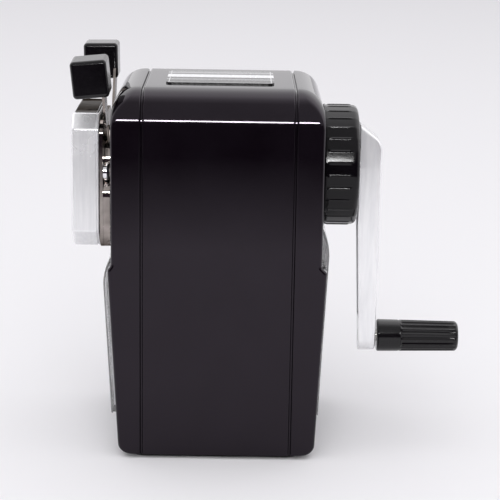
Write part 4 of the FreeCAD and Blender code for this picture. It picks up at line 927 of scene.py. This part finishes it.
def make_drawer():
    """The clear chip bin: a thin open tray, and a bowed hollow front joined to it by a solid neck."""
    low, high = mm_box("chip_drawer")
    clear = FINISHES["clear_plastic"]
    levels = [(TRAY_TOP, 0.0), (57.6, 0.0), (30.0, 0.0), (5.4, 0.0), (4.4, 0.3), (3.8, 0.9), (TRAY_LOW, 1.8)]
    loops = [rounded_loop(TRAY_HALF, -TRAY_FRONT, high[1], TRAY_CORNER, level, inset)
             for level, inset in levels]
    width = len(loops[0])
    points = [point for loop in loops for point in loop]
    faces = tube_faces(len(loops), width)
    faces.append(tuple(range((len(loops) - 1) * width, len(loops) * width)))
    tray = mesh_object("chip_tray", points, faces, clear, ((TRAY_HALF, 0, 30), (1, 0, 0)))
    even_normals(thicken(tray, TRAY_WALL))
    stand_in(tray, "drawer", "clear_plastic")
    face = ENDS["front"]["face"]
    points, faces = bowed_sheet(panel_profile(face, 0.7, 56.6, 3.1, high[2], -1), face)
    front = mesh_object("chip_tray_front", points, faces, clear, ((0, -36, 40), (0, -1, 0)))
    even_normals(thicken(front, PANEL_WALL))
    stand_in(front, "drawer", "clear_plastic", "chip_drawer")
    points, faces = rib_frame(-face - 0.25, -TRAY_FRONT - 0.15, 23.6, 13.0, 57.8, 2.0)
    neck = mesh_object("chip_tray_neck", points, faces, clear, ((0, -face - 0.2, 14), (0, -1, 0)))
    even_normals(neck, 40)
    stand_in(neck, "drawer", "clear_plastic")


def rib_frame(near, far, half, low, high, width):
    """A rectangular frame standing across Y, with a square section."""
    points = []
    for x, z in ((half, low), (half, high), (-half, high), (-half, low)):
        inner_x = x - math.copysign(width, x)
        inner_z = low + width if z == low else high - width
        points += [(x, near, z), (x, far, z), (inner_x, far, inner_z), (inner_x, near, inner_z)]
    return points, tube_faces(4, 4, closed=True)


def make_rear_window():
    """The fixed clear panel over the rear opening, notched for the lock collar."""
    low, high = mm_box("rear_window")
    clear, face = FINISHES["clear_plastic"], ENDS["rear"]["face"]
    profile = panel_profile(face, 0.3, 66.6, 2.7, high[2], 1)
    points, faces = bowed_sheet(profile, face, (21.0, mid_height("lock_collar")))
    window = mesh_object("rear_window_panel", points, faces, clear, ((0, 36, 50), (0, 1, 0)))
    even_normals(thicken(window, PANEL_WALL))
    stand_in(window, "casing", "clear_plastic", "rear_window")
    points, faces = rib_frame(face, face - 1.4, 21.3, 13.1, 66.9, 1.6)
    plug = mesh_object("rear_window_plug", points, faces, clear, ((0, face - 0.1, 14), (0, 1, 0)))
    even_normals(plug, 40)
    stand_in(plug, "casing", "clear_plastic")


# ---------------------------------------------------------------- springs

def make_spring(side):
    """A guide spring: closed end turns and open middle turns."""
    low, high = mm_box("guide_spring_" + side)
    x, z = (low[0] + high[0]) / 2, (low[2] + high[2]) / 2
    wire = 0.3
    radius = (high[2] - low[2]) / 2 - wire
    start, length = low[1] + wire, high[1] - low[1] - 2 * wire
    turns, per_turn, around = 12, 28, 8
    closed_pitch = 0.62
    points = []
    steps = turns * per_turn
    for step in range(steps + 1):
        share = step / steps
        coil = share * turns
        if coil < 1:
            along = closed_pitch * coil
        elif coil > turns - 1:
            along = length - closed_pitch * (turns - coil)
        else:
            along = closed_pitch + (length - 2 * closed_pitch) * (coil - 1) / (turns - 2)
        turn = 2 * math.pi * coil
        for spot in range(around):
            bend = 2 * math.pi * spot / around
            reach = radius + wire * math.cos(bend)
            points.append((x + reach * math.cos(turn), start + along + wire * math.sin(bend),
                           z + reach * math.sin(turn)))
    faces = tube_faces(steps + 1, around)
    faces.append(tuple(range(around)))
    faces.append(tuple(range(steps * around, (steps + 1) * around)))
    spring = mesh_object("guide_spring_coil_" + side, points, faces, FINISHES["spring_steel"])
    stand_in(spring, "casing", "spring_steel", "guide_spring_" + side)
    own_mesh(spring)


# ---------------------------------------------------------------- make it all

dress_cad()
make_wrap()
make_shell("front", "front_shell")
make_shell("rear", "rear_shell")
make_collar()
make_grip()
make_holder_cover()
make_drawer()
make_rear_window()
make_spring("left")
make_spring("right")
make_floor()
make_world()
make_lights()
make_flag()
make_camera()
bpy.context.scene.view_settings.view_transform = "Standard"
bpy.context.scene.view_settings.look = "None"
